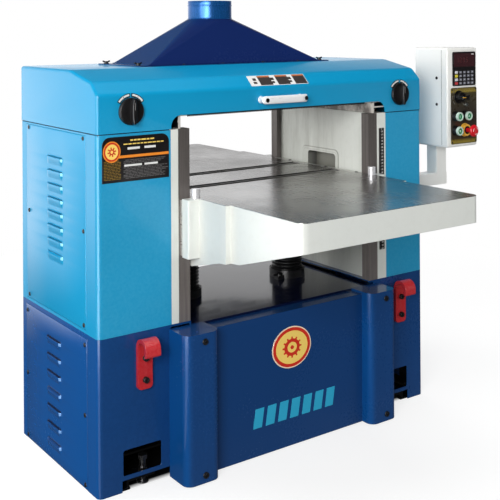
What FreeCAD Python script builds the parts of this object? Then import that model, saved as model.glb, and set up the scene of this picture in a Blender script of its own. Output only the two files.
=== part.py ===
import FreeCAD, Part
import math
import os
from FreeCAD import Vector as V

# Thickness planer, 24 inch class: two base cabinets and columns, a table lifted by two screws
# between them, and a cutting head under a folded top cover. Millimetres, +Z up.
# Origin: on the floor, on the planing centreline (X), at the machine's mid-depth (Y).
# -Y is the infeed (operator) side, +X is the operator's right.

# ---------------------------------------------------------------- shared dimensions
X_LEFT, X_RIGHT = -608.0, 564.0        # outer sides of the cabinet
X_CENTRE = (X_LEFT + X_RIGHT) / 2.0
Y_REAR = 252.5                         # rear plane of the cabinet
Y_FRONT = -Y_REAR
Z_BASE = 408.0                         # top of the base
Z_SEAM = 933.0                         # column covers below, top cover above
COL_L, COL_R = -389.0, 403.5           # inner edges of the column covers
PLATE_IN = 328.0                       # inner edges of the base's top plates
CORNER_R = 14.0                        # vertical corner radius of the cabinets
SHEET = 3.0                            # sheet thickness
# Y ranges of tools that cut through the front and the rear sheet
SHEET_CUTS = ((Y_FRONT - 1, Y_FRONT + 5), (Y_REAR - 5, Y_REAR + 1))
SIDES = (-1, 1)

WAY_IN, WAY_OUT = 330.0, 366.0         # machined ways, inner and outer X
WAY_DEPTH = 32.0
Z_WAY_TOP = 932.0
Z_HEAD = 965.0                         # column castings below, head casting above
WEB_IN, WEB_OUT = 330.0, 347.0         # side webs of the head casting, inner and outer X

CUT_Z, CUT_R = 972.0, 49.0             # cutting plane and cutting radius
HEAD_Z = CUT_Z + CUT_R                 # cutterhead axis
TABLE_Z = 745.0                        # table top at its lowest position
TABLE_BOT = 556.0                      # underside of the deep middle of the table
SCREW_X = 200.0                        # elevation screws at +-SCREW_X
SCREW_R = 15.0
NUT_R = 30.0                           # body of the elevation nuts
DECK_Z = 397.0                         # top of the deck
COLLAR_Z = 422.0                       # top of the screw collars


# ---------------------------------------------------------------- helpers
def box(x0, x1, y0, y1, z0, z1):
    x0, x1 = sorted((x0, x1))
    y0, y1 = sorted((y0, y1))
    return Part.makeBox(x1 - x0, y1 - y0, z1 - z0, V(x0, y0, z0))


def cyl_x(r, x0, x1, y, z):
    x0, x1 = sorted((x0, x1))
    return Part.makeCylinder(r, x1 - x0, V(x0, y, z), V(1, 0, 0))


def cyl_y(r, y0, y1, x, z):
    y0, y1 = sorted((y0, y1))
    return Part.makeCylinder(r, y1 - y0, V(x, y0, z), V(0, 1, 0))


def cyl_z(r, z0, z1, x, y):
    return Part.makeCylinder(r, z1 - z0, V(x, y, z0), V(0, 0, 1))


def face(points):
    return Part.Face(Part.makePolygon(points + [points[0]]))


def prism_x(outline, x0, x1):
    """Closed (y, z) outline extruded along X."""
    return face([V(x0, y, z) for y, z in outline]).extrude(V(x1 - x0, 0, 0))


def prism_y(outline, y0, y1):
    """Closed (x, z) outline extruded along Y."""
    y0, y1 = sorted((y0, y1))
    return face([V(x, y0, z) for x, z in outline]).extrude(V(0, y1 - y0, 0))


def prism_z(outline, z0, z1):
    """Closed (x, y) outline extruded along Z."""
    return face([V(x, y, z0) for x, y in outline]).extrude(V(0, 0, z1 - z0))


def ring(u, v, r, count):
    """Points evenly spaced round a circle."""
    angles = [math.radians(360.0 / count * i) for i in range(count)]
    return [(u + r * math.cos(a), v + r * math.sin(a)) for a in angles]


def arc(u, v, r, start, end, steps):
    """Points along an arc, both ends included; angles in radians."""
    angles = [start + (end - start) * i / steps for i in range(steps + 1)]
    return [(u + r * math.cos(a), v + r * math.sin(a)) for a in angles]


def hexagon(flats, u, v):
    return ring(u, v, flats / math.sqrt(3.0), 6)


def along_x(a, b):
    return abs(a.y - b.y) < 1e-6 and abs(a.z - b.z) < 1e-6


def along_y(a, b):
    return abs(a.x - b.x) < 1e-6 and abs(a.z - b.z) < 1e-6


def along_z(a, b):
    return abs(a.x - b.x) < 1e-6 and abs(a.y - b.y) < 1e-6 and abs(a.z - b.z) > 1


def fillet_edges(shape, r, test):
    """Round the edges that pass test(edge); with none, the shape is returned as it is."""
    edges = [e for e in shape.Edges if test(e)]
    return shape.makeFillet(r, edges) if edges else shape


def fillet(shape, r, test):
    """Round the edges whose end points pass test(a, b)."""
    return fillet_edges(shape, r, lambda e: test(e.Vertexes[0].Point, e.Vertexes[-1].Point))


def round_box_x(x0, x1, y0, y1, z0, z1, r):
    return fillet(box(x0, x1, y0, y1, z0, z1), r, along_x)


def round_box_y(x0, x1, y0, y1, z0, z1, r):
    return fillet(box(x0, x1, y0, y1, z0, z1), r, along_y)


def round_box_z(x0, x1, y0, y1, z0, z1, r):
    return fillet(box(x0, x1, y0, y1, z0, z1), r, along_z)


def join(first, *rest):
    for shape in rest:
        first = first.fuse(shape)
    return first


def fuse(*shapes):
    """Join, then merge faces that lie on one surface."""
    return join(*shapes).removeSplitter()


def cut(shape, *tools):
    for tool in tools:
        shape = shape.cut(tool)
    return shape


def group(*shapes):
    return Part.makeCompound([solid for shape in shapes for solid in shape.Solids])


# ---------------------------------------------------------------- fastener places
HOOK_X = (-476.0, 457.5)
HOOKS = [(x, side) for x in HOOK_X for side in SIDES]          # X, front (-1) or rear (1)
HOOK_BOLT_Z = (283.0, 340.0)
FRONT_SCREWS = [(x, z) for x in (-340.0, 317.0) for z in (376.0, 24.0)]
HOOD_SCREWS = [(x, y) for x in (-370.0, 308.0) for y in (-40.0, 160.0)]

# ---------------------------------------------------------------- louvred side panels
# pocket: depth of the recess in the sheet; opening: y0, y1, z0, z1 of the hole behind
UPPER = dict(
    y=(-185.5, 206.5), z=(416.5, 925.5), pocket=1.6, pocket_z=(416, 926),
    opening=(-140, 165, 450, 905),
    slot_y=(-45, 54), slot_z=[850 - 38.2 * i for i in range(8)],
    screws=[(y, z) for y in (-174, 187) for z in (917, 674, 428)])
LOWER = dict(
    y=(-189.5, 214.5), z=(1, 395.5), pocket=2.0, pocket_z=(-1, 396),
    opening=(-150, 175, 30, 362),
    slot_y=(-27, 62), slot_z=[342 - 47.7 * i for i in range(7)],
    screws=[(y, z) for y in (-178, 203) for z in (378, 194, 12)])
PANEL_HOLE_R = 3.2
SLOT_HALF = 4                          # half height of a louvre slot

# control arm: a hollow elbow that leaves through the right column cover and panel
ARM_Y = (-140, -92)
ARM_Z = (650, 692)
ARM_X = (757, 807)                     # upright part
ARM_WALL = 6
ARM_GAP = 1.5                          # clearance round the arm


def vent_panel(x_side, inward, panel):
    thick = panel["pocket"] - 0.05
    plate = round_box_x(x_side, x_side + inward * thick, *panel["y"], *panel["z"], 3)
    slots = [box(x_side - inward, x_side + inward * (thick + 1), *panel["slot_y"],
                 z - SLOT_HALF, z + SLOT_HALF) for z in panel["slot_z"]]
    holes = [cyl_x(PANEL_HOLE_R, x_side - 3, x_side + 3, y, z) for y, z in panel["screws"]]
    return cut(plate, *slots, *holes)


def panel_seat(x_side, inward, panel):
    """Tools for the pocket a panel lies in and the opening behind its louvres."""
    y0, y1 = panel["y"]
    start = x_side - inward
    pocket = box(start, x_side + inward * panel["pocket"], y0 - 0.5, y1 + 0.5,
                 *panel["pocket_z"])
    return pocket, box(start, x_side + inward * 8, *panel["opening"])


def shank_holes(x_side, panel):
    return [cyl_x(PANEL_HOLE_R, x_side - 9, x_side + 9, y, z) for y, z in panel["screws"]]


def arm_hole():
    return box(X_RIGHT - 10, X_RIGHT + 1, ARM_Y[0] - ARM_GAP, ARM_Y[1] + ARM_GAP,
               ARM_Z[0] - ARM_GAP, ARM_Z[1] + ARM_GAP)


def side_panels_right():
    return group(vent_panel(X_RIGHT, -1, UPPER).cut(arm_hole()),
                 vent_panel(X_RIGHT, -1, LOWER))


# ---------------------------------------------------------------- base
def base_cabinet(hook_x):
    """Cabinet in its left-hand place, before the panel screw holes."""
    outer = box(X_LEFT, COL_L - 3, Y_FRONT, Y_REAR, 0, Z_BASE)
    outer = fillet(outer, CORNER_R, lambda a, b: along_z(a, b) and a.x < X_LEFT + 1)
    inner = box(X_LEFT + 4, COL_L + 50, Y_FRONT + SHEET, Y_REAR - SHEET, -1, Z_BASE - 6)
    inner = fillet(inner, CORNER_R - SHEET, lambda a, b: along_z(a, b) and a.x < X_LEFT + 10)
    # top plate reaching in under the ways, and the lip along its inner edge
    cabinet = fuse(
        outer.cut(inner),
        box(COL_L - 60, -PLATE_IN, Y_FRONT, Y_REAR, Z_BASE - 6, Z_BASE),
        box(-PLATE_IN - 4, -PLATE_IN, Y_FRONT, Y_REAR, Z_BASE - 24, Z_BASE - 6))
    cabinet = cut(cabinet, *panel_seat(X_LEFT, 1, LOWER))
    # window and raised bottom edge, front and rear
    for y0, y1 in SHEET_CUTS:
        cabinet = cut(cabinet, round_box_y(-537, -423, y0, y1, 41, 108, 6),
                      box(-540, COL_L, y0, y1, -1, 30))
    # belt slot through the top plate
    cabinet = cabinet.cut(box(-462, -397, -20, 205, Z_BASE - 10, Z_BASE + 1))
    return cut(cabinet, *[cyl_y(6.0, y0, y1, hook_x, z)
                          for y0, y1 in SHEET_CUTS for z in HOOK_BOLT_Z])


def base_cabinet_left():
    return cut(base_cabinet(HOOK_X[0]), *shank_holes(X_LEFT, LOWER))


def base_cabinet_right():
    cabinet = base_cabinet(2 * X_CENTRE - HOOK_X[1]).mirror(V(X_CENTRE, 0, 0), V(1, 0, 0))
    # the mirrored top plate is cut back to the right-hand ways
    mirrored_edge = 2 * X_CENTRE + PLATE_IN
    surplus = box(mirrored_edge - 5, PLATE_IN, Y_FRONT - 1, Y_REAR + 1,
                  Z_BASE - 30, Z_BASE + 1)
    return cut(cabinet, surplus, *shank_holes(X_RIGHT, LOWER))


FOOT_PLACES = [(x, y) for x in (-466.0, 422.0) for y in (-226.0, 226.0)]


def base_frame():
    bars = [box(-596, 552, -70, 70, 0, 6),            # cross plate
            box(-300, 0, 60, 222, 0, 6),              # plate under the motor stand
            box(-596, -524, -246, 246, 0, 6),         # left rail
            box(480, 552, -246, 246, 0, 6)]           # right rail
    # foot lugs: raised plate, upright web and foot strip; the last column is the web's X
    for x0, x1, x_web in ((-524, -440, -524), (396, 480, 474)):
        for y0, y1 in ((-246, -206), (206, 246)):
            bars += [box(x0, x1, y0, y1, 20, 30), box(x_web, x_web + 6, y0, y1, 0, 30),
                     box(x_web - 4, x_web + 10, y0, y1, 0, 6)]
    # motor stand: two uprights and a table
    bars += [box(-290, -282, 20, 222, 6, 82), box(-18, -10, 20, 222, 6, 82),
             box(-290, -10, 20, 222, 82, 90)]
    holes = [cyl_z(7.0, -1, 10, x, y) for x in (-560.0, 516.0) for y in (-205.0, 205.0)]
    holes += [cyl_z(8.1, 15, 35, x, y) for x, y in FOOT_PLACES]
    holes += [cyl_z(5.5, 80, 92, x, y) for x in (-230.0, -70.0) for y in (45.0, 215.0)]
    return cut(join(*bars), *holes).removeSplitter()


def levelling_bolts():
    return group(*[
        fuse(cyl_z(8.0, 4, 62, x, y), cyl_z(16.0, 0, 4, x, y),
             prism_z(hexagon(24, x, y), 30, 40), prism_z(hexagon(24, x, y), 62, 72))
        for x, y in FOOT_PLACES])


FRONT_L, FRONT_R = -398.0, 362.0       # front cover, outer sides
PILASTER_W = 107.0
PILASTER_OUT = 89.0                    # how far the pilasters stand forward
PANEL_OUT = 47.0                       # how far the panel between them stands forward


def front_cover_block(inset, z_pilaster, z_panel, z_bottom):
    """Two round-cornered pilasters and the panel between them."""
    y_front = Y_FRONT - PILASTER_OUT + inset
    pilasters = []
    for x0 in (FRONT_L, FRONT_R - PILASTER_W):
        block = box(x0 + inset, x0 + PILASTER_W - inset, y_front, Y_FRONT,
                    z_bottom, z_pilaster)
        pilasters.append(fillet(block, 24.0 - inset,
                                lambda a, b: along_z(a, b) and a.y < Y_FRONT - 50))
    panel = box(FRONT_L + 30, FRONT_R - 30, Y_FRONT - PANEL_OUT + inset, Y_FRONT,
                z_bottom, z_panel)
    return fuse(*pilasters, panel)


def base_front_cover():
    cover = front_cover_block(0.0, 398.0, 391.0, 3.0)
    cover = cover.cut(front_cover_block(SHEET, 398.0 - SHEET, 391.0 - SHEET, -5.0))
    y = Y_FRONT - PILASTER_OUT
    return cut(cover, *[cyl_y(4.0, y - 3, y + 5, x, z) for x, z in FRONT_SCREWS])


def base_rear_cover():
    """Flat panel with returned top and bottom edges and a cable gland hole."""
    z0, z1 = 31, 383
    y_inside = Y_REAR - SHEET
    cover = fuse(box(-388.5, 344.5, y_inside, Y_REAR, z0, z1),
                 box(-386, 342, Y_REAR - 20, y_inside, z1 - SHEET, z1),
                 box(-386, 342, Y_REAR - 20, y_inside, z0, z0 + SHEET))
    return cover.cut(cyl_y(16.0, Y_REAR - 5, Y_REAR + 1, 250, 90))


def base_deck():
    deck = box(-PLATE_IN + 0.1, PLATE_IN - 0.1, Y_FRONT + 0.2, Y_REAR - 0.2,
               DECK_Z - 10, DECK_Z)
    return cut(deck, *[cyl_z(NUT_R + 0.05, 380, 400, s * SCREW_X, 0) for s in SIDES])


# ---------------------------------------------------------------- columns
def column_casting(x_out, x_in, gaps):
    """Side casting; gaps are the Z ranges relieved above the ways."""
    side = math.copysign(1, x_in)
    past_in, past_out = x_in - side * 20, x_out + side * 20
    y_ends = (Y_FRONT - 1, Y_REAR + 1)
    z_over = Z_HEAD + 5
    casting = box(x_out, x_in, Y_FRONT, Y_REAR, Z_BASE, Z_HEAD)
    # corner rebates for the ways
    for y0, y1 in ((Y_FRONT - 1, Y_FRONT + WAY_DEPTH), (Y_REAR - WAY_DEPTH, Y_REAR + 1)):
        casting = casting.cut(box(side * WAY_OUT, past_in, y0, y1, Z_BASE - 1, Z_WAY_TOP))
    # reliefs above the ways, front and rear
    for y_end, inward in zip(y_ends, (1, -1)):
        for z0, z1 in gaps:
            casting = casting.cut(box(side * 362.0, past_out, y_end, y_end + inward * 43,
                                      z0, z1))
        casting = casting.cut(box(past_in, past_out, y_end, y_end + inward * 8,
                                  Z_WAY_TOP, z_over))
    # step in the inner face at the height of the ways' ends
    casting = casting.cut(box(x_in - side, x_in + side * 6, *y_ends, Z_WAY_TOP, z_over))
    # raised rim round a deep pocket in the inner wall
    casting = fuse(casting,
                   round_box_x(x_in - side * 2, x_in + side, -88, 98, 650, 798, 17))
    return casting.cut(round_box_x(x_in - side * 3, x_in + side * 33, -75, 67, 662, 785, 11))


def column_casting_left():
    return column_casting(COL_L, -348.0, ((Z_WAY_TOP, 970),))


def column_casting_right():
    # a shelf 4 thick stays between the two gaps
    return column_casting(COL_R, 348.0, ((Z_WAY_TOP, 949), (953, 970)))


def column_ways():
    gap = 0.02
    return group(*[box(sx * WAY_IN, sx * (WAY_OUT - gap), sy * (Y_REAR - WAY_DEPTH + gap),
                       sy * Y_REAR, Z_BASE, Z_WAY_TOP - gap)
                   for sx in SIDES for sy in SIDES])


def column_cover(x_out, x_in, *extra_tools):
    inward = 1 if x_in > x_out else -1
    z_top = Z_SEAM - 2.5
    past_in = x_in + inward * 5
    cover = box(x_out, x_in, Y_FRONT, Y_REAR, Z_BASE, z_top)
    cover = fillet(cover, CORNER_R, lambda a, b: along_z(a, b) and abs(a.x - x_out) < 1)
    cavity = box(x_out + inward * SHEET, past_in, Y_FRONT + SHEET, Y_REAR - SHEET,
                 Z_BASE - 1, z_top - SHEET)
    cavity = fillet(cavity, CORNER_R - SHEET,
                    lambda a, b: along_z(a, b) and abs(a.x - x_out) < 10)
    # opening in the top, inside a flange 22 wide
    top = box(x_out + inward * 22, past_in, Y_FRONT + 22, Y_REAR - 22, Z_SEAM - 8, Z_SEAM + 2)
    return cut(cover, cavity, top, *panel_seat(x_out, inward, UPPER), *extra_tools,
               *shank_holes(x_out, UPPER))


# ---------------------------------------------------------------- cabinet screws and hooks
HOOK_WIDTH, HOOK_THICK = 44.0, 10.0    # strap
HOOK_BOT, HOOK_TOP, HOOK_LIP = 258.0, 396.0, 352.0   # strap foot, crown, end of the lip
HOOK_R = 27.0                          # outer radius of the curl


def panel_screw(x_side, inward, y, z):
    return fuse(cyl_x(3.0, x_side, x_side + inward * 7, y, z),
                cyl_x(5.5, x_side - inward * 2.6, x_side, y, z))


def hook_bolt(x, side, z):
    """Round-headed bolt with a hexagon socket."""
    y = side * Y_REAR
    under = y + side * HOOK_THICK
    crown = under + side * 9
    head = cyl_y(8.2, under, crown, x, z)
    head = fillet_edges(head, 1.4, lambda e: abs(e.CenterOfMass.y - crown) < 1e-3
                        and len(e.Vertexes) == 1)
    bolt = fuse(cyl_y(5.8, y - side * 8, under, x, z), head)
    return bolt.cut(prism_y(hexagon(8.0, x, z), under + side * 4.5, crown + side))


def cabinet_screws():
    screws = []
    for y, z in UPPER["screws"] + LOWER["screws"]:
        screws += [panel_screw(X_LEFT, 1, y, z), panel_screw(X_RIGHT, -1, y, z)]
    y = Y_FRONT - PILASTER_OUT
    screws += [fuse(cyl_y(3.8, y, y + 9, x, z), cyl_y(8.0, y - 3.6, y, x, z))
               for x, z in FRONT_SCREWS]
    screws += [hook_bolt(x, side, z) for x, side in HOOKS for z in HOOK_BOLT_Z]
    return group(*screws)


def lifting_hook(x, side):
    """Strap bolted flat, its upper end curled outward and down into a lip."""
    y_face = side * Y_REAR
    inner_r = HOOK_R - HOOK_THICK
    z_curl = HOOK_TOP - HOOK_R
    out, inn = 2 * HOOK_R, HOOK_R + inner_r
    # outline columns: distance out from the cabinet, Z
    lip = [(out + 0.6, HOOK_LIP + 5), (out - 1.2, HOOK_LIP + 1.2),
           (out - HOOK_THICK / 2, HOOK_LIP), (inn + 1.2, HOOK_LIP + 1.2),
           (inn + 0.2, HOOK_LIP + 5)]
    outline = ([(0, HOOK_BOT)] + arc(HOOK_R, z_curl, HOOK_R, math.pi, 0, 18) + lip
               + arc(HOOK_R, z_curl, inner_r, math.pi, 0, 18)[::-1]
               + [(HOOK_THICK, HOOK_BOT)])
    hook = prism_x([(y_face + side * d, z) for d, z in outline],
                   x - HOOK_WIDTH / 2, x + HOOK_WIDTH / 2)
    # the two lower corners of the strap
    hook = fillet_edges(hook, 11.0, lambda e: e.BoundBox.YLength > HOOK_THICK - 0.1
                        and abs(e.BoundBox.ZMax - HOOK_BOT) < 1e-3
                        and e.BoundBox.XLength < 1e-3)
    return cut(hook, *[cyl_y(6.0, y_face - 12, y_face + 12, x, z) for z in HOOK_BOLT_Z])


# ---------------------------------------------------------------- head
BEARING_R = 36.0
SHAFT_R = 20.0                         # cutterhead journals
DRIVE_SHAFT_R = 17.0                   # cutterhead shaft through its pulley
ROLLER_Y, ROLLER_Z = 92.0, 1001.5      # feed rollers at +-ROLLER_Y
ROLLER_SHAFT_R = 14.0
BLOCK_HALF = 22.0                      # half width of the roller blocks
PIVOT_R, PIVOT_Y, PIVOT_Z = 8.0, -54, 1050       # chip breaker trunnions
ROD_R, ROD_Y, ROD_Z = 9.0, -222, 1003            # rod the kickback fingers hang on


def head_casting():
    bars = []
    for s in SIDES:
        bars += [box(s * WEB_IN, s * 389, -240, 200, Z_HEAD, 985),       # flange
                 box(s * WEB_IN, s * WEB_OUT, -240, 200, 985, 1062)]     # web
    bars += [box(-WEB_OUT, WEB_OUT, -200, -184, 1010, 1062),             # front wall
             box(-WEB_OUT, WEB_OUT, 184, 200, 985, 1062)]                # rear wall
    # front top corner stepped and chamfered under the cover, then the bearing bores
    head = cut(fuse(*bars),
               box(-400, 400, -245, -200, 1026, 1070),
               box(-400, 400, -201, -150, 1056, 1070),
               prism_x([(-200, 1058), (-150, 1072), (-200, 1072)], -400, 400),
               cyl_x(BEARING_R, -400, 400, 0, HEAD_Z))
    # slots of the roller blocks, through the webs and out through the flanges
    half = BLOCK_HALF + 0.1
    for sy in SIDES:
        y = sy * ROLLER_Y
        for sx in SIDES:
            x_in = sx * (WEB_IN - 1)
            head = cut(head, box(x_in, sx * (WEB_OUT + 1), y - half, y + half, 960, 1026),
                       box(x_in, sx * 417.6, y - half, y + half, 960, 986))
    return cut(head, cyl_x(PIVOT_R + 0.05, -350, 350, PIVOT_Y, PIVOT_Z),
               cyl_x(ROD_R, -350, 350, ROD_Y, ROD_Z))


def head_bearings():
    parts = []
    for sx in SIDES:
        x0, x1 = sx * WEB_IN, sx * WEB_OUT
        bore = (sx * (WEB_IN - 1), sx * (WEB_OUT + 1))
        parts.append(cyl_x(BEARING_R, x0, x1, 0, HEAD_Z).cut(
            cyl_x(SHAFT_R + 0.05, *bore, 0, HEAD_Z)))
        for sy in SIDES:
            y = sy * ROLLER_Y
            parts.append(box(x0, x1, y - BLOCK_HALF, y + BLOCK_HALF, 986, 1020).cut(
                cyl_x(ROLLER_SHAFT_R + 0.05, *bore, y, ROLLER_Z)))
    return group(*parts)


BODY_R = CUT_R - 2.5                   # cutterhead body
ROWS, PER_ROW = 4, 20                  # helical rows of square inserts
ROW_LENGTH = 600.0
PULLEY_X = (-440, -400)
HEAD_PULLEY_R, MOTOR_PULLEY_R = 55.0, 80.0


def at_inserts(make):
    """One make(x) per insert, turned about X to its angle and raised to the axis."""
    shapes = []
    for row in range(ROWS):
        for k in range(PER_ROW):
            shape = make(-ROW_LENGTH / 2 + ROW_LENGTH * (k + 0.5 * (row % 2)) / PER_ROW)
            shape.rotate(V(0, 0, 0), V(1, 0, 0), 90.0 * row + 90.0 * k / PER_ROW + 20)
            shape.translate(V(0, 0, HEAD_Z))
            shapes.append(shape)
    return shapes


def cutterhead():
    body = fuse(cyl_x(BODY_R, -312, 312, 0, HEAD_Z), cyl_x(SHAFT_R, -349, 349, 0, HEAD_Z),
                cyl_x(DRIVE_SHAFT_R, -446, -349, 0, HEAD_Z))
    seats = at_inserts(lambda x: box(x - 11, x + 11, BODY_R - 12, BODY_R + 4, 0, 14))
    pulley = cyl_x(HEAD_PULLEY_R, *PULLEY_X, 0, HEAD_Z).cut(
        cyl_x(DRIVE_SHAFT_R, -441, -399, 0, HEAD_Z))
    return group(body.cut(Part.makeCompound(seats)), pulley)


def cutterhead_inserts():
    return group(*at_inserts(
        lambda x: box(x - 7, x + 7, BODY_R - 11.9, CUT_R - 0.15, 0.0, 2.5)))


MOTOR_Y, MOTOR_Z, MOTOR_R = 130.0, 205.0, 105.0
ROTOR_R = 22.0
BELT_THICK, BELT_WIDTH = 9.0, 10
BELT_GAP = 0.9                         # between a pulley and the inside of a belt


def main_motor():
    motor = fuse(cyl_x(MOTOR_R, -320, 30, MOTOR_Y, MOTOR_Z),
                 box(-285, -15, MOTOR_Y - 100, MOTOR_Y + 100, 90, 112),      # foot
                 box(-200, -110, MOTOR_Y - 40, MOTOR_Y + 40, MOTOR_Z + 90, MOTOR_Z + 130))
    return motor.cut(cyl_x(ROTOR_R + 0.05, -325, 20, MOTOR_Y, MOTOR_Z))


def motor_rotor():
    return fuse(cyl_x(ROTOR_R, -319, 10, MOTOR_Y, MOTOR_Z),
                cyl_x(19.0, -446, -318, MOTOR_Y, MOTOR_Z),
                cyl_x(MOTOR_PULLEY_R, *PULLEY_X, MOTOR_Y, MOTOR_Z))


def belt_outline(grow):
    """Open belt line round the head and motor pulleys, grown outward."""
    head_r = HEAD_PULLEY_R + BELT_GAP + grow
    motor_r = MOTOR_PULLEY_R + BELT_GAP + grow
    dz = MOTOR_Z - HEAD_Z
    base = math.atan2(dz, MOTOR_Y)
    wrap = math.acos((head_r - motor_r) / math.hypot(MOTOR_Y, dz))
    return (arc(0.0, HEAD_Z, head_r, base + wrap, base - wrap + 2 * math.pi, 24)
            + arc(MOTOR_Y, MOTOR_Z, motor_r, base - wrap, base + wrap, 24))


def drive_belts():
    return group(*[prism_x(belt_outline(BELT_THICK), x, x + BELT_WIDTH).cut(
        prism_x(belt_outline(0.0), x, x + BELT_WIDTH)) for x in (-438, -425, -412)])


# feed rollers; their right-hand ends carry the chain sprockets
SPROCKET_R = 28.0
GEAR_SHAFT_R = 12.0                    # infeed shaft inside the gearbox


def feed_roller(y, serrated):
    roller = cyl_x(30.0, -308, 308, y, ROLLER_Z)
    for i in range(24 if serrated else 0):
        groove = box(-309, 309, 28.6, 31.0, -1.2, 1.2)
        groove.rotate(V(0, 0, 0), V(1, 0, 0), 15.0 * i)
        groove.translate(V(0, y, ROLLER_Z))
        roller = roller.cut(groove)
    return roller.fuse(cyl_x(ROLLER_SHAFT_R, -346, 400, y, ROLLER_Z))


def sprocket(y):
    return cyl_x(SPROCKET_R, 391, 398, y, ROLLER_Z).cut(
        cyl_x(ROLLER_SHAFT_R, 390, 399, y, ROLLER_Z))


def infeed_roller():
    roller = feed_roller(-ROLLER_Y, True).fuse(
        cyl_x(GEAR_SHAFT_R, 400, 486, -ROLLER_Y, ROLLER_Z))
    return group(roller, sprocket(-ROLLER_Y))


def outfeed_roller():
    return group(feed_roller(ROLLER_Y, False), sprocket(ROLLER_Y))


def feed_chain():
    def loop(r, x0, x1):
        return fuse(box(x0, x1, -ROLLER_Y, ROLLER_Y, ROLLER_Z - r, ROLLER_Z + r),
                    cyl_x(r, x0, x1, -ROLLER_Y, ROLLER_Z),
                    cyl_x(r, x0, x1, ROLLER_Y, ROLLER_Z))
    return loop(34.0, 391.5, 397.5).cut(loop(SPROCKET_R + 0.1, 391, 398))


def feed_gearbox():
    housing = fuse(round_box_x(404, 492, -142, -42, 950, 1050, 12),
                   cyl_x(38.0, 404, 500, -ROLLER_Y, ROLLER_Z))
    housing = housing.cut(cyl_x(GEAR_SHAFT_R + 0.05, 400, 488, -ROLLER_Y, ROLLER_Z))
    return fuse(housing, box(410, 470, -136, -48, 934, 952))


# (y, z) outlines
BREAKER = [(-57.5, 1050), (-57.5, 986), (-62, 984), (-62, 976), (-58, 973), (-38, 973),
           (-36, 975), (-36, 984), (-51.5, 990), (-51.5, 1050)]
PRESSURE_BAR = [(36, 984), (36, 975), (38, 973), (56, 973), (60, 976), (60, 986), (57, 988),
                (57, 1046), (51, 1046), (51, 990)]
FINGER = [(-233, 1010), (-237, 996), (-241, 965.5), (-237, 962), (-228, 970), (-212, 992),
          (-210, 1006), (-216, 1015), (-227, 1016)]


def chip_breaker():
    """Bar ahead of the cutterhead, pivoting on two trunnions."""
    return fuse(prism_x(BREAKER, -306, 306), cyl_x(PIVOT_R, -346, 346, PIVOT_Y, PIVOT_Z),
                cyl_x(10.5, -320, 320, PIVOT_Y, PIVOT_Z))


def head_cross_bars():
    return group(prism_x(PRESSURE_BAR, -329.9, 329.9),
                 cyl_x(ROD_R, -WEB_OUT, WEB_OUT, ROD_Y, ROD_Z))


def kickback_fingers():
    count, row = 102, 656.0
    xs = [-row / 2 + row * (i + 0.5) / count for i in range(count)]
    return group(*[prism_x(FINGER, x - 1.6, x + 1.6).cut(
        cyl_x(ROD_R + 0.05, x - 5, x + 5, ROD_Y, ROD_Z)) for x in xs])


# ---------------------------------------------------------------- table
TABLE_HALF_L = 714.0
WING_HALF_W = 310.0
MID_HALF_W = 326.0                     # between the ways
MID_HALF_L = 420.0                     # where the deep middle ends
# front halves of the (y, z) outlines
WING_HALF = [(-TABLE_HALF_L, TABLE_Z), (-TABLE_HALF_L, TABLE_Z - 73.0), (-458, 597),
             (-390, 590), (-255, TABLE_BOT)]
MID_HALF = [(-MID_HALF_L, TABLE_Z), (-MID_HALF_L, 593), (-390, 590), (-255, TABLE_BOT)]
# hollows of the underside: X ranges, Y ranges in the wings and in the middle
CELL_X = ((-290, -150), (-138, -6), (6, 138), (150, 290))
WING_CELL_Y = ((-690, -560), (-548, -432), (432, 548), (560, 690))
MID_CELL_Y = ((-404, -316), (-300, -162), (-96, -60), (102, 210), (226, 300), (316, 404))
BED_FRONT_Y, BED_REAR_Y = -128.0, 70.0
BED_R = 19.5
BED_Z = TABLE_Z + 0.4 - BED_R          # rollers stand 0.4 above the table
BED_PIN_R = 8.0
BED_SLOT = 23.0                        # half width of a roller's slot
EAR_BOT = 586.0                        # ears that embrace the ways
EAR_X = 361
EAR_IN, EAR_OUT = 262.6, 294           # inner and outer +-Y of the ears
EDGE_X, EDGE_Y = 324, -273             # edge rollers at +-EDGE_X
EDGE_PIN_R = 6.0
STRIP_SCREW_X = 318.5
STRIP_SCREW_Y = (-208.0, -59.0, 132.0)
STRIP_HOLE_R = 2.6
LIFT_SCREW_TOP = TABLE_Z - 60


def front_and_rear(half):
    return half + [(-y, z) for y, z in half[::-1]]


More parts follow.
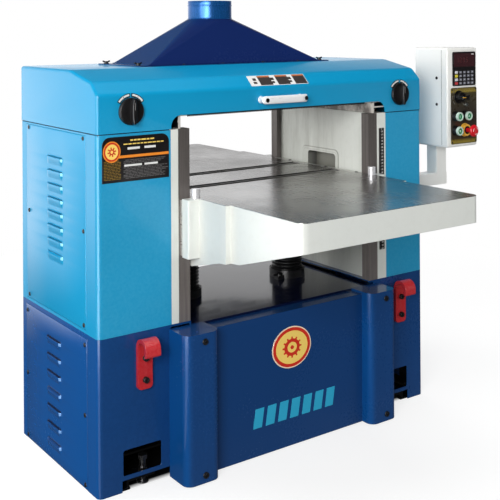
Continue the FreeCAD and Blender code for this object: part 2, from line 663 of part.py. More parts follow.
def table():
    top = fuse(prism_x(front_and_rear(WING_HALF), -WING_HALF_W, WING_HALF_W),
               prism_x(front_and_rear(MID_HALF), -MID_HALF_W, MID_HALF_W))
    top = fillet(top, 22.0, lambda a, b: along_z(a, b) and abs(a.y) > TABLE_HALF_L - 1)
    cells = []
    for x in CELL_X:
        cells += [box(*x, *y, 500, TABLE_Z - 26) for y in WING_CELL_Y]
        cells += [box(*x, *y, 500, TABLE_Z - 30) for y in MID_CELL_Y]
    top = top.cut(Part.makeCompound(cells))
    for y in (BED_FRONT_Y, BED_REAR_Y):
        top = cut(top,
                  box(-300, 300, y - BED_SLOT, y + BED_SLOT, TABLE_Z - 46, TABLE_Z + 1),
                  cyl_x(BED_PIN_R + 0.05, -316, 316, y, BED_Z))
    # ears with their outer corners rounded
    ears = [fillet(box(sx * 300, sx * EAR_X, sy * EAR_IN, sy * EAR_OUT, EAR_BOT, TABLE_Z - 1),
                   5.0, lambda a, b: along_z(a, b) and abs(abs(a.x) - EAR_X) < 1
                   and abs(abs(a.y) - EAR_OUT) < 1)
            for sx in SIDES for sy in SIDES]
    top = fuse(top, *ears)
    # seats of the edge rollers, bosses and bores for the elevation screws
    for s in SIDES:
        top = cut(top, cyl_z(13.0, TABLE_Z - 4, TABLE_Z + 2, s * EDGE_X, EDGE_Y),
                  cyl_z(EDGE_PIN_R + 0.05, TABLE_Z - 40, TABLE_Z, s * EDGE_X, EDGE_Y))
        top = top.fuse(cyl_z(34.0, TABLE_BOT + 2, TABLE_Z - 25, s * SCREW_X, 0))
        top = top.cut(cyl_z(SCREW_R, TABLE_BOT - 5, LIFT_SCREW_TOP, s * SCREW_X, 0))
    # seats and screw holes of the edge strips
    for s in SIDES:
        top = cut(top, box(s * 311, s * 327, -216, 216, TABLE_Z - 2, TABLE_Z + 1),
                  *[cyl_z(STRIP_HOLE_R, TABLE_Z - 14, TABLE_Z + 1, s * STRIP_SCREW_X, y)
                    for y in STRIP_SCREW_Y])
    return top.removeSplitter()


def bed_roller(y):
    return fuse(cyl_x(BED_R, -299, 299, y, BED_Z), cyl_x(BED_PIN_R, -314, 314, y, BED_Z))


def edge_roller(side):
    x = side * EDGE_X
    return fuse(cyl_z(12.0, TABLE_Z - 3.5, TABLE_Z + 24, x, EDGE_Y),
                cyl_z(EDGE_PIN_R, TABLE_Z - 38, TABLE_Z - 3, x, EDGE_Y))


def table_strips():
    """Edge strips with their screws, and the gib of each ear."""
    parts = []
    for sx in SIDES:
        x = sx * STRIP_SCREW_X
        parts += [fuse(cyl_z(2.5, TABLE_Z - 12, TABLE_Z, x, y),
                       cyl_z(4.2, TABLE_Z, TABLE_Z + 1.8, x, y)) for y in STRIP_SCREW_Y]
        strip = box(sx * 311.05, sx * 326, -215.8, 215.8, TABLE_Z - 2, TABLE_Z)
        parts.append(cut(strip, *[cyl_z(STRIP_HOLE_R, TABLE_Z - 4, TABLE_Z + 1, x, y)
                                  for y in STRIP_SCREW_Y]))
        parts += [box(sx * 332, sx * 360, sy * (EAR_IN - 10), sy * EAR_IN,
                      EAR_BOT + 4, TABLE_Z - 6) for sy in SIDES]
    return group(*parts)


def height_pointer():
    """Bracket and arrow on the right front ear."""
    return fuse(box(EAR_X, 372, -270, -264, 726, 738),
                prism_y([(372, 727), (372, 737), (396, 732)], -256.6, -254.6),
                box(364, 374, -270, -254.6, 728, 736))


# ---------------------------------------------------------------- elevation
LEVER_X, LEVER_Y, LEVER_Z = 141.0, -34.0, 411        # lock lever pivot and arm height
LEVER_PIN_R = 5.0
LEVER_R, LEVER_LENGTH = 3.4, 30


def lift_screws():
    return group(*[cyl_z(SCREW_R, 130, LIFT_SCREW_TOP, s * SCREW_X, 0) for s in SIDES])


def lift_nut(side):
    """Nut with a sprocket of 20 round tooth gaps."""
    x = side * SCREW_X
    nut = fuse(cyl_z(NUT_R, 360, 418, x, 0), cyl_z(58.0, 364, 372, x, 0))
    nut = nut.cut(cyl_z(SCREW_R + 0.05, 350, 440, x, 0))
    gaps = [cyl_z(5.0, 360, 376, gx, gy) for gx, gy in ring(x, 0, 61.0, 20)]
    return nut.cut(Part.makeCompound(gaps))


def screw_collars():
    def nut_bore(x):
        return cyl_z(NUT_R + 0.05, 390, COLLAR_Z - 3, x, 0)
    left, right = [cut(cyl_z(57.5, DECK_Z, COLLAR_Z, x, 0), nut_bore(x),
                       cyl_z(18.0, COLLAR_Z - 12, COLLAR_Z + 8, x, 0))
                   for x in (-SCREW_X, SCREW_X)]
    # lug for the lock lever beside the right collar
    right = fuse(right, box(LEVER_X - 10, LEVER_X + 14, LEVER_Y - 9, LEVER_Y + 12,
                            DECK_Z, 407))
    right = cut(right, nut_bore(SCREW_X),
                cyl_z(LEVER_PIN_R + 0.05, 390, 410, LEVER_X, LEVER_Y))
    return group(left, right)


def bellow(side, folds=7, valley_r=42.0, crest_r=50.0, inner_r=39.0):
    fold = (TABLE_BOT - COLLAR_Z) / folds
    outline = []                       # (radius, z)
    for i in range(folds):
        z = COLLAR_Z + i * fold
        outline += [(valley_r, z), (crest_r, z + fold * 0.5)]
    outline += [(valley_r, TABLE_BOT), (inner_r, TABLE_BOT), (inner_r, COLLAR_Z)]
    x = side * SCREW_X
    section = face([V(x + r, 0, z) for r, z in outline])
    return section.revolve(V(x, 0, 0), V(0, 0, 1), 360)


def collar_lock_lever():
    pivot = V(LEVER_X, LEVER_Y, LEVER_Z)
    direction = V(-0.93, -0.30, 0.20).normalize()
    return fuse(cyl_z(LEVER_PIN_R, 399, 408, LEVER_X, LEVER_Y),
                cyl_z(8.5, 407.2, 416, LEVER_X, LEVER_Y),
                Part.makeCylinder(LEVER_R, LEVER_LENGTH, pivot, direction),
                Part.makeSphere(LEVER_R, pivot + direction * LEVER_LENGTH))


# ---------------------------------------------------------------- top cover
Z_FOLD_1, Z_FOLD_2, Z_TOP = 1034.0, 1067.0, 1094.0   # folds, front to top
Y_FOLD_2, Y_FOLD_3 = -217.5, -89.5
LATCHES = ((-510.0, 988.0), (466.0, 988.0))          # X, Z
LATCH_R = 8.0
HANDLE_X, HANDLE_Z, HANDLE_HALF = -16.0, 997.0, 83.0
HANDLE_FEET = [HANDLE_X + s * (HANDLE_HALF - 12) for s in SIDES]
HINGE_Y, HINGE_Z = Y_REAR + 7.5, Z_SEAM + 1.0
HINGE_X = ((-500, -470), (430, 460))                 # knuckles on the cover
HINGE_PIN_R, KNUCKLE_R = 3.5, 6.0
HOOD_X, HOOD_Y = (-345.0, 290.0), (-59.0, 165.0)     # foot of the dust hood


def cover_profile(inset, z_bottom):
    return [(Y_FRONT + inset, z_bottom),
            (Y_FRONT + inset, Z_FOLD_1 - 0.3 * inset),
            (Y_FOLD_2 + 0.72 * inset, Z_FOLD_2 - 0.72 * inset),
            (Y_FOLD_3 + 0.1 * inset, Z_TOP - inset),
            (Y_REAR - inset, Z_TOP - inset),
            (Y_REAR - inset, z_bottom)]


def hood_opening(z0, z1):
    return box(HOOD_X[0] + 12, HOOD_X[1] - 12, HOOD_Y[0] + 12, HOOD_Y[1] - 12, z0, z1)


def column_arch(y0, y1):
    """Opening between the columns, with round upper corners."""
    arch = box(COL_L + 2, COL_R - 2, y0, y1, Z_SEAM - 1, 969)
    return fillet(arch, 31.0, lambda a, b: along_y(a, b) and a.z > 960)


def top_cover():
    cover = prism_x(cover_profile(0.0, Z_SEAM), X_LEFT, X_RIGHT)
    cover = cut(cover,
                prism_x(cover_profile(SHEET, Z_SEAM - 1), X_LEFT + SHEET, X_RIGHT - SHEET),
                *[column_arch(y0, y1) for y0, y1 in SHEET_CUTS],
                hood_opening(Z_TOP - 10, Z_TOP + 5))
    y0, y1 = Y_FRONT - 1, Y_FRONT + 6
    cover = cut(cover, *[cyl_y(LATCH_R + 0.05, y0, y1, x, z) for x, z in LATCHES],
                *[cyl_y(4.0, y0, y1, x, HANDLE_Z) for x in HANDLE_FEET],
                *[cyl_z(3.2, Z_TOP - 5, Z_TOP + 1, x, y) for x, y in HOOD_SCREWS])
    # rear hinge knuckles
    for x0, x1 in HINGE_X:
        knuckle = join(
            cyl_x(KNUCKLE_R, x0, x1, HINGE_Y, HINGE_Z),
            box(x0, x1, Y_REAR - 0.5, HINGE_Y, HINGE_Z + 0.5, HINGE_Z + 6),
            box(x0, x1, Y_REAR - 0.5, Y_REAR + 3.5, HINGE_Z + 2, HINGE_Z + 30))
        cover = cover.fuse(knuckle).cut(
            cyl_x(HINGE_PIN_R + 0.05, x0 - 1, x1 + 1, HINGE_Y, HINGE_Z))
    return cover.removeSplitter()


def cover_hinges():
    """Hinge pins with their fixed leaves on the column covers."""
    hinges = []
    for x0, x1 in HINGE_X:
        hinge = cyl_x(HINGE_PIN_R, x0 - 22, x1 + 22, HINGE_Y, HINGE_Z)
        for a, b in ((x0 - 22, x0 - 1), (x1 + 1, x1 + 22)):
            hinge = join(hinge, cyl_x(KNUCKLE_R, a, b, HINGE_Y, HINGE_Z),
                         box(a, b, Y_REAR, Y_REAR + 3.5, HINGE_Z - 34, HINGE_Z - 1),
                         box(a, b, Y_REAR + 1.5, HINGE_Y, HINGE_Z - 6, HINGE_Z - 0.5))
        hinges.append(hinge.removeSplitter())
    return group(*hinges)


def cover_handle():
    """Bar on two feet, with the screws sunk in it."""
    bar = round_box_y(HANDLE_X - HANDLE_HALF, HANDLE_X + HANDLE_HALF, Y_FRONT - 34,
                      Y_FRONT - 22, HANDLE_Z - 11.5, HANDLE_Z + 11.5, 8)
    bar = fuse(bar, *[cyl_y(9.0, Y_FRONT - 24, Y_FRONT, x, HANDLE_Z) for x in HANDLE_FEET])
    screws = []
    for x in HANDLE_FEET:
        bar = cut(bar, cyl_y(4.0, Y_FRONT - 40, Y_FRONT + 1, x, HANDLE_Z),
                  cyl_y(6.6, Y_FRONT - 36, Y_FRONT - 29, x, HANDLE_Z))
        screws.append(fuse(cyl_y(3.8, Y_FRONT - 30, Y_FRONT + 8, x, HANDLE_Z),
                           cyl_y(6.2, Y_FRONT - 33, Y_FRONT - 29, x, HANDLE_Z)))
    return group(bar, *screws)


def latch_knob(x, z):
    """Disc, grip, spindle, and the cam inside the cover."""
    return fuse(cyl_y(36.0, Y_FRONT - 9, Y_FRONT - 0.3, x, z),
                round_box_z(x - 7, x + 7, Y_FRONT - 27, Y_FRONT - 8, z - 34, z + 34, 5),
                cyl_y(LATCH_R, Y_FRONT - 1, Y_FRONT + 14, x, z),
                box(x - 30, x + 8, Y_FRONT + 8, Y_FRONT + 12, z - 8, z + 8))


# ---------------------------------------------------------------- dust hood
DUCT_X, DUCT_Y, DUCT_R = -32.0, 98.0, 70.0
HOOD_FOOT_Z = Z_TOP + 3.0              # top of the flange
HOOD_NECK_Z, HOOD_END_Z = 1233.0, 1290.0


def rect_to_circle(inset_x, inset_y, z0, r, z1):
    """Faceted solid from the hood's foot, inset, to a 40-sided circle at the duct."""
    per_corner = 10
    count = 4 * per_corner
    x0, x1 = HOOD_X[0] + inset_x, HOOD_X[1] - inset_x
    y0, y1 = HOOD_Y[0] + inset_y, HOOD_Y[1] - inset_y
    corners = [V(x1, y1, z0), V(x0, y1, z0), V(x0, y0, z0), V(x1, y0, z0)]
    circle = [V(x, y, z1) for x, y in ring(DUCT_X, DUCT_Y, r, count)]
    faces = []
    for q, corner in enumerate(corners):
        start = q * per_corner
        for i in range(start, start + per_corner):
            faces.append(face([corner, circle[i], circle[(i + 1) % count]]))
        faces.append(face([corner, circle[(start + per_corner) % count],
                           corners[(q + 1) % 4]]))
    faces += [face(corners), face(circle)]
    solid = Part.Solid(Part.makeShell(faces))
    if solid.Volume < 0:
        solid.reverse()
    return solid


def dust_hood():
    """Flange, transition and round spigot, open right through, with four wing screws."""
    outer = rect_to_circle(0, 0, HOOD_FOOT_Z, DUCT_R + 1.2, HOOD_NECK_Z)
    inner = rect_to_circle(8, 5, HOOD_FOOT_Z - 1.0, DUCT_R - 3.2, HOOD_NECK_Z - 1.0)
    flange = round_box_z(-381, 330, -68, 198, Z_TOP, HOOD_FOOT_Z, 8)
    hood = join(outer, cyl_z(DUCT_R, HOOD_NECK_Z - 1.0, HOOD_END_Z, DUCT_X, DUCT_Y), flange)
    hood = cut(hood, inner,
               cyl_z(DUCT_R - 2.0, HOOD_NECK_Z - 1.5, HOOD_END_Z + 1, DUCT_X, DUCT_Y),
               hood_opening(Z_TOP - 1, HOOD_FOOT_Z + 1),
               *[cyl_z(3.2, Z_TOP - 1, Z_TOP + 4, x, y) for x, y in HOOD_SCREWS])
    screws = [fuse(cyl_z(3.0, Z_TOP - 4, Z_TOP + 3, x, y),
                   cyl_z(7.5, Z_TOP + 3, Z_TOP + 9, x, y),
                   box(x - 12, x + 12, y - 1.5, y + 1.5, Z_TOP + 5, Z_TOP + 13))
              for x, y in HOOD_SCREWS]
    return group(hood, *screws)


# ---------------------------------------------------------------- controls
BOX_X, BOX_Y, BOX_Z = (709.0, 858.0), (-236.0, -84.0), (792.0, 1131.0)
BOX_FRONT = BOX_Y[0]
BOX_WALL = 2.5
# X, Z on the box's front
START, TABLE_DOWN = (745.0, 898.0), (745.0, 849.0)
TABLE_UP, STOP = (791.0, 898.0), (791.0, 849.0)
ROTARY = (762.0, 963.0)
CONTROLS = (START, TABLE_DOWN, TABLE_UP, STOP, ROTARY)
BUTTON_R, STOP_STEM_R, ROTARY_STEM_R = 10.0, 8.0, 6.0


def arm_inside():
    """X range and Y range inside the upright part of the arm."""
    return (ARM_X[0] + ARM_WALL, ARM_X[1] - ARM_WALL,
            ARM_Y[0] + ARM_WALL, ARM_Y[1] - ARM_WALL)


def height_scale():
    return box(375, 395, Y_FRONT - 2.0, Y_FRONT, 500, 884)


def control_arm():
    """Hollow elbow, clamped to the cover between two plates."""
    x_in, x_end, y0, y1 = arm_inside()
    z0, z1 = ARM_Z
    arm = fuse(round_box_x(X_RIGHT - 30, ARM_X[1], *ARM_Y, z0, z1, 4),
               round_box_z(*ARM_X, *ARM_Y, z0, BOX_Z[0], 4),
               box(X_RIGHT, X_RIGHT + 6, -160, -72, 630, 712),
               box(X_RIGHT - 36, X_RIGHT - 30, -160, -72, 630, 712))
    return cut(arm,
               round_box_x(X_RIGHT - 40, x_end, y0, y1, z0 + ARM_WALL, z1 - ARM_WALL, 3),
               box(x_in, x_end, y0, y1, 660, BOX_Z[0] + 1))


def control_box():
    x0, x1 = BOX_X
    y0, y1 = BOX_Y
    z0, z1 = BOX_Z
    case = fillet(box(x0, x1, y0, y1, z0, z1), 3.0, along_z)
    return cut(case,
               box(x0 + BOX_WALL, x1 - BOX_WALL, y0 + BOX_WALL, y1 - BOX_WALL,
                   z0 + BOX_WALL, z1 - BOX_WALL),
               box(*arm_inside(), z0 - 1, z0 + 4),
               box(736, 846, y0 - 1, y0 + 4, 1004, 1114),          # readout opening
               *[cyl_y(11.6, y0 - 1, y0 + 5, x, z) for x, z in CONTROLS],
               *[cyl_x(3.2, x0 - 1, x0 + 4, -187, z) for z in (1027.6, 937.4)])


def bezel(place, collar_r, collar_length, bore_r):
    plate_front = BOX_FRONT - 2.0
    body = fuse(cyl_y(11.5, plate_front, BOX_FRONT + 22, *place),
                cyl_y(collar_r, plate_front - collar_length, plate_front, *place))
    return body.cut(cyl_y(bore_r + 0.05, BOX_FRONT - 40, BOX_FRONT + 23, *place))


def switch_plate():
    plate = round_box_y(724, 854, BOX_FRONT - 2.0, BOX_FRONT, 802, 995, 4)
    plate = cut(plate, *[cyl_y(11.6, BOX_FRONT - 3, BOX_FRONT + 1, x, z)
                         for x, z in CONTROLS])
    return group(plate,
                 *[bezel(place, 15.0, 24.0, BUTTON_R)
                   for place in (START, TABLE_DOWN, TABLE_UP)],
                 bezel(STOP, 20.0, 12.0, STOP_STEM_R),
                 bezel(ROTARY, 14.0, 6.0, ROTARY_STEM_R))


def readout_panel():
    return fuse(round_box_y(732, 849, BOX_FRONT - 3.0, BOX_FRONT, 1000, 1118, 4),
                box(738, 844, BOX_FRONT, BOX_FRONT + 14, 1006, 1112))


def rotary_switch():
    x, z = ROTARY
    return fuse(cyl_y(ROTARY_STEM_R, BOX_FRONT - 12, BOX_FRONT + 14, x, z),
                cyl_y(17.0, BOX_FRONT - 22, BOX_FRONT - 8.2, x, z),
                round_box_y(x - 17, x + 17, BOX_FRONT - 38, BOX_FRONT - 20, z - 5, z + 5, 3))


def push_button(place):
    return fuse(cyl_y(BUTTON_R, BOX_FRONT - 24, BOX_FRONT + 6, *place),
                cyl_y(5.0, BOX_FRONT + 5, BOX_FRONT + 14, *place))


def emergency_stop_button():
    y_cap = BOX_FRONT - 52
    button = fuse(cyl_y(STOP_STEM_R, BOX_FRONT - 38, BOX_FRONT + 8, *STOP),
                  cyl_y(20.0, y_cap, BOX_FRONT - 38, *STOP))
    return fillet(button, 6.0,
                  lambda a, b: abs(a.y - y_cap) < 0.01 and abs(b.y - y_cap) < 0.01)


# ---------------------------------------------------------------- write
PARTS = {
    "base_cabinet_left": base_cabinet_left(),
    "base_cabinet_right": base_cabinet_right(),
    "base_frame": base_frame(),
    "levelling_bolts": levelling_bolts(),
    "base_front_cover": base_front_cover(),
    "base_rear_cover": base_rear_cover(),
    "base_deck": base_deck(),
    "column_casting_left": column_casting_left(),
    "column_casting_right": column_casting_right(),
    "column_ways": column_ways(),
    "column_cover_left": column_cover(X_LEFT, COL_L),
    "column_cover_right": column_cover(X_RIGHT, COL_R, arm_hole()),
    "vent_panel_upper_left": vent_panel(X_LEFT, 1, UPPER),
    "vent_panel_lower_left": vent_panel(X_LEFT, 1, LOWER),
    "side_panels_right": side_panels_right(),
    "cabinet_screws": cabinet_screws(),
    "lifting_hooks": group(*[lifting_hook(x, side) for x, side in HOOKS]),
    "head_casting": head_casting(),
    "head_bearings": head_bearings(),
    "cutterhead": cutterhead(),
    "cutterhead_inserts": cutterhead_inserts(),
    "main_motor": main_motor(),
    "motor_rotor": motor_rotor(),
    "drive_belts": drive_belts(),
    "infeed_roller": infeed_roller(),
    "outfeed_roller": outfeed_roller(),
    "feed_chain": feed_chain(),
    "feed_gearbox": feed_gearbox(),
    "chip_breaker": chip_breaker(),
    "head_cross_bars": head_cross_bars(),
    "kickback_fingers": kickback_fingers(),
    "table": table(),
    "bed_roller_front": bed_roller(BED_FRONT_Y),
    "bed_roller_rear": bed_roller(BED_REAR_Y),
    "edge_roller_left": edge_roller(-1),
    "edge_roller_right": edge_roller(1),
    "table_strips": table_strips(),
    "height_pointer": height_pointer(),
    "lift_screws": lift_screws(),
    "lift_nut_left": lift_nut(-1),
    "lift_nut_right": lift_nut(1),
    "screw_collars": screw_collars(),
    "screw_bellows": group(*[bellow(s) for s in SIDES]),
    "collar_lock_lever": collar_lock_lever(),
    "top_cover": top_cover(),
    "cover_hinges": cover_hinges(),
    "cover_handle": cover_handle(),
    "latch_knob_left": latch_knob(*LATCHES[0]),
    "latch_knob_right": latch_knob(*LATCHES[1]),
    "dust_hood": dust_hood(),
    "height_scale": height_scale(),
    "control_arm": control_arm(),
    "control_box": control_box(),
    "switch_plate": switch_plate(),
    "readout_panel": readout_panel(),
    "rotary_switch": rotary_switch(),
    "start_button": push_button(START),
    "table_up_button": push_button(TABLE_UP),
    "table_down_button": push_button(TABLE_DOWN),
    "emergency_stop_button": emergency_stop_button(),
}

os.makedirs("parts", exist_ok=True)
for name, shape in PARTS.items():
    shape.exportStep("parts/" + name + ".step")
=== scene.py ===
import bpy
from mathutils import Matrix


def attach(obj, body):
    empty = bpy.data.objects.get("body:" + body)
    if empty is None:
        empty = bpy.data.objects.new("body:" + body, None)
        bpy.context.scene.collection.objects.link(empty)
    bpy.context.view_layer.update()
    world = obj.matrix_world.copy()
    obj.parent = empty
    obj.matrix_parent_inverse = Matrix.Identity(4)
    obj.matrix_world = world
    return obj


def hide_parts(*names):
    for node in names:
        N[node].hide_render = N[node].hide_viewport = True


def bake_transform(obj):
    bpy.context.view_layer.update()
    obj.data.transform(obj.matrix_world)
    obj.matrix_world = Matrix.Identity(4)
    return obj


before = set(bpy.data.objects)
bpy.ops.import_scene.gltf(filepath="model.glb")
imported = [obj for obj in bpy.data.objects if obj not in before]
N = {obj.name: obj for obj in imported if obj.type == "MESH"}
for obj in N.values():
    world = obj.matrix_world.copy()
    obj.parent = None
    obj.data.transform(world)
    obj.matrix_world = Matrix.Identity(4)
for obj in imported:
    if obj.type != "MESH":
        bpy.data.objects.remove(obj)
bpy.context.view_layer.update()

import math
import random

import bmesh
import bpy
from mathutils import Matrix, Vector

random.seed(7)
scene = bpy.context.scene
MM = 0.001

# ------------------------------------------------------------------ dimensions shared with the part, mm
XL, XR, YF, YB = -608.0, 564.0, -252.5, 252.5
Z_SEAM, Z_F3, Z_F2, Z_TOP = 933.0, 1034.0, 1067.0, 1094.0
Y_F2, Y_F1 = -217.5, -89.5
XCL, XCR, CCX = -389.0, 403.5, -22.0
TAB_Z, TAB_BOT, COL_Z, SCR_X = 745.0, 556.0, 422.0, 200.0
BOX = (709.0, 858.0, -236.0, -84.0, 792.0, 1131.0)
BY = BOX[2]


# ------------------------------------------------------------------ colour and materials
def C(r, g, b, a=1.0):
    def f(u):
        u = u / 255.0
        return u / 12.92 if u <= 0.04045 else ((u + 0.055) / 1.055) ** 2.4
    return (f(r), f(g), f(b), a)


def scale_c(c, k):
    return (min(c[0] * k, 1), min(c[1] * k, 1), min(c[2] * k, 1), 1)


class G:
    """small helper round a node tree"""

    def __init__(self, name):
        self.m = bpy.data.materials.new(name)
        self.m.use_nodes = True
        self.t = self.m.node_tree
        self.t.nodes.clear()
        self.out = self.n("ShaderNodeOutputMaterial")

    def n(self, kind, **kw):
        x = self.t.nodes.new(kind)
        for k, v in kw.items():
            setattr(x, k, v)
        return x

    def link(self, a, b):
        self.t.links.new(a, b)

    def coord(self, stretch=(1, 1, 1), offset=(0, 0, 0)):
        tc = self.n("ShaderNodeTexCoord")
        mp = self.n("ShaderNodeMapping")
        mp.inputs["Scale"].default_value = stretch
        mp.inputs["Location"].default_value = offset
        self.link(tc.outputs["Object"], mp.inputs["Vector"])
        return mp.outputs[0]

    def noise(self, vec, scale, detail=3.0, rough=0.5):
        x = self.n("ShaderNodeTexNoise")
        x.inputs["Scale"].default_value = scale
        x.inputs["Detail"].default_value = detail
        x.inputs["Roughness"].default_value = rough
        self.link(vec, x.inputs["Vector"])
        return x.outputs[0]

    def ramp(self, fac, pts):
        x = self.n("ShaderNodeValToRGB")
        el = x.color_ramp.elements
        while len(el) < len(pts):
            el.new(0.5)
        for e, (p, c) in zip(el, pts):
            e.position = p
            e.color = c if isinstance(c, tuple) else (c, c, c, 1)
        self.link(fac, x.inputs[0])
        return x.outputs[0]

    def rng(self, fac, a, b, lo=0.0, hi=1.0):
        x = self.n("ShaderNodeMapRange")
        x.inputs["From Min"].default_value = lo
        x.inputs["From Max"].default_value = hi
        x.inputs["To Min"].default_value = a
        x.inputs["To Max"].default_value = b
        self.link(fac, x.inputs["Value"])
        return x.outputs[0]

    def mix(self, fac, a, b, blend="MIX"):
        x = self.n("ShaderNodeMix", data_type="RGBA", blend_type=blend)
        if isinstance(fac, (int, float)):
            x.inputs[0].default_value = fac
        else:
            self.link(fac, x.inputs[0])
        for s, v in ((6, a), (7, b)):
            if isinstance(v, tuple):
                x.inputs[s].default_value = v
            else:
                self.link(v, x.inputs[s])
        return x.outputs[2]

    def math(self, op, a, b=None):
        x = self.n("ShaderNodeMath", operation=op)
        for s, v in ((0, a), (1, b)):
            if v is None:
                continue
            if isinstance(v, (int, float)):
                x.inputs[s].default_value = v
            else:
                self.link(v, x.inputs[s])
        return x.outputs[0]

    def xyz(self):
        tc = self.n("ShaderNodeTexCoord")
        s = self.n("ShaderNodeSeparateXYZ")
        self.link(tc.outputs["Object"], s.inputs[0])
        return s.outputs

    def bump(self, height, strength, dist=0.0005, normal=None):
        x = self.n("ShaderNodeBump")
        x.inputs["Strength"].default_value = strength
        x.inputs["Distance"].default_value = dist
        self.link(height, x.inputs["Height"])
        if normal is not None:
            self.link(normal, x.inputs["Normal"])
        return x.outputs[0]

    def bevel(self, r):
        x = self.n("ShaderNodeBevel")
        x.samples = 4
        x.inputs["Radius"].default_value = r * MM
        return x.outputs[0]

    def bsdf(self, color, rough, metal=0.0, normal=None, coat=0.0, coat_rough=0.08, spec=0.5, aniso=0.0):
        b = self.n("ShaderNodeBsdfPrincipled")
        if isinstance(color, tuple):
            b.inputs["Base Color"].default_value = color
        else:
            self.link(color, b.inputs["Base Color"])
        if isinstance(rough, (int, float)):
            b.inputs["Roughness"].default_value = rough
        else:
            self.link(rough, b.inputs["Roughness"])
        if isinstance(metal, (int, float)):
            b.inputs["Metallic"].default_value = metal
        else:
            self.link(metal, b.inputs["Metallic"])
        b.inputs["Specular IOR Level"].default_value = spec
        b.inputs["Coat Weight"].default_value = coat
        b.inputs["Coat Roughness"].default_value = coat_rough
        b.inputs["Anisotropic"].default_value = aniso
        if normal is not None:
            self.link(normal, b.inputs["Normal"])
        return b.outputs[0]

    def done(self, shader):
        self.link(shader, self.out.inputs[0])
        return self.m


def paint(name, rgb, rough=0.32, var=0.05, coat=0.35, peel=0.10, bevel=1.5, wear=0.25, dust=0.0, wear_c=None, vs=2.2, spec=0.5, inner=None, side=None):
    """sprayed enamel: slow tone drift, orange peel, rubbed edges, dust gathered low down; optional painted shade inside
    (inner) and painted light on left-facing faces (side)
    """
    g = G(name)
    v = g.coord()
    big = g.noise(v, vs, 3.0)
    fine = g.noise(v, 140.0, 3.0, 0.5)
    col = g.mix(big, scale_c(rgb, 1 - var), scale_c(rgb, 1 + var))
    col = g.mix(g.rng(fine, 0.0, 0.05, 0.45, 0.75), col, scale_c(rgb, 0.85))
    speck = g.noise(v, 900.0, 1.0, 0.4)
    col = g.mix(g.rng(speck, 0.0, 0.16, 0.70, 0.80), col, scale_c(rgb, 0.55))
    geo = g.n("ShaderNodeNewGeometry")
    edge = g.math("MULTIPLY", g.rng(geo.outputs["Pointiness"], 0.0, wear, 0.54, 0.66), fine)
    col = g.mix(edge, col, wear_c or scale_c(rgb, 1.6))
    if dust > 0:
        z = g.xyz()[2]
        low = g.math("MULTIPLY", g.rng(z, 1.0, 0.0, 0.0, 0.16), g.noise(v, 9.0, 5.0, 0.65))
        col = g.mix(g.math("MULTIPLY", low, dust), col, C(120, 122, 128))
    if side:
        # painted light: faces turned to the left (-X) get a lighter, bluer tone, standing in for the light and
        # reflection they catch from that side
        sn = g.n("ShaderNodeSeparateXYZ")
        g.link(geo.outputs["Normal"], sn.inputs[0])
        col = g.mix(g.rng(sn.outputs[0], 1.0, 0.0, -0.75, -0.35), col, g.mix(big, scale_c(side, 1 - var), scale_c(side, 1 + var)))
    if inner:
        # painted shade: faces inside the cabinets are made near black, where little light reaches
        x, y, z = g.xyz()
        cx, hx, hy, hz = inner
        a = g.rng(g.math("ABSOLUTE", g.math("SUBTRACT", x, cx)), 1.0, 0.0, hx, hx + 0.0005)
        b = g.rng(g.math("ABSOLUTE", y), 1.0, 0.0, hy, hy + 0.0005)
        c = g.rng(z, 1.0, 0.0, hz, hz + 0.0005)
        d = g.rng(g.math("ADD", g.math("ABSOLUTE", g.math("SUBTRACT", x, cx)), g.math("ABSOLUTE", y)), 1.0, 0.0, hx + hy - 0.0048, hx + hy - 0.0043)
        col = g.mix(g.math("MULTIPLY", g.math("MULTIPLY", g.math("MULTIPLY", a, b), c), d), col, C(5, 6, 10))
    rg = g.rng(g.math("ADD", g.math("MULTIPLY", fine, 0.25), g.math("MULTIPLY", big, 0.75)), rough * 0.88, rough * 1.14, 0.35, 0.65)
    bv = g.bevel(bevel) if bevel else None
    bp = g.bump(g.noise(v, 420.0, 2.0), peel, 0.0004, bv)
    bp = g.bump(g.noise(v, 16.0, 1.0), peel * 0.35, 0.004, bp)
    return g.done(g.bsdf(col, rg, 0.0, bp, coat, 0.06, spec))


def metal(name, rgb, rough=0.3, stretch=(1, 1, 1), scratch=0.12, var=0.12, spots=0.0, spot_c=None, bevel=0.6, metallic=1.0, aniso=0.0, zfade=None):
    """machined or drawn steel: directional grain, stain patches, worn edges"""
    g = G(name)
    v = g.coord(stretch)
    v1 = g.coord()
    grain = g.noise(v, 260.0, 5.0, 0.7)
    big = g.noise(v1, 5.0, 4.0, 0.6)
    col = g.mix(grain, scale_c(rgb, 1 - var), scale_c(rgb, 1 + var))
    if spots > 0:
        col = g.mix(g.math("MULTIPLY", g.rng(g.noise(v1, 30.0, 6.0, 0.7), 0.0, 1.0, 0.55, 0.8), spots), col, spot_c or scale_c(rgb, 0.35))
    geo = g.n("ShaderNodeNewGeometry")
    col = g.mix(g.rng(geo.outputs["Pointiness"], 0.0, 0.35, 0.53, 0.62), col, scale_c(rgb, 1.5))
    if zfade:
        # painted reflection: lighter towards the bottom, darker towards the top, in streaks
        f = g.rng(g.xyz()[2], zfade[2], zfade[3], zfade[0], zfade[1])
        streak = g.rng(g.noise(g.coord((1, 1, 0.03), (1, 2, 3)), 120.0, 4.0, 0.7), 0.80, 1.22, 0.3, 0.7)
        f = g.math("MULTIPLY", f, streak)
        vm = g.n("ShaderNodeVectorMath", operation="SCALE")
        g.link(col, vm.inputs[0])
        g.link(f, vm.inputs["Scale"])
        col = vm.outputs[0]
    rg = g.rng(g.math("ADD", g.math("MULTIPLY", grain, 0.6), g.math("MULTIPLY", big, 0.4)), rough * 0.75, rough * 1.3, 0.3, 0.7)
    bv = g.bevel(bevel) if bevel else None
    bp = g.bump(grain, scratch, 0.0003, bv)
    return g.done(g.bsdf(col, rg, metallic, bp, 0.0, 0.1, 0.5, aniso))


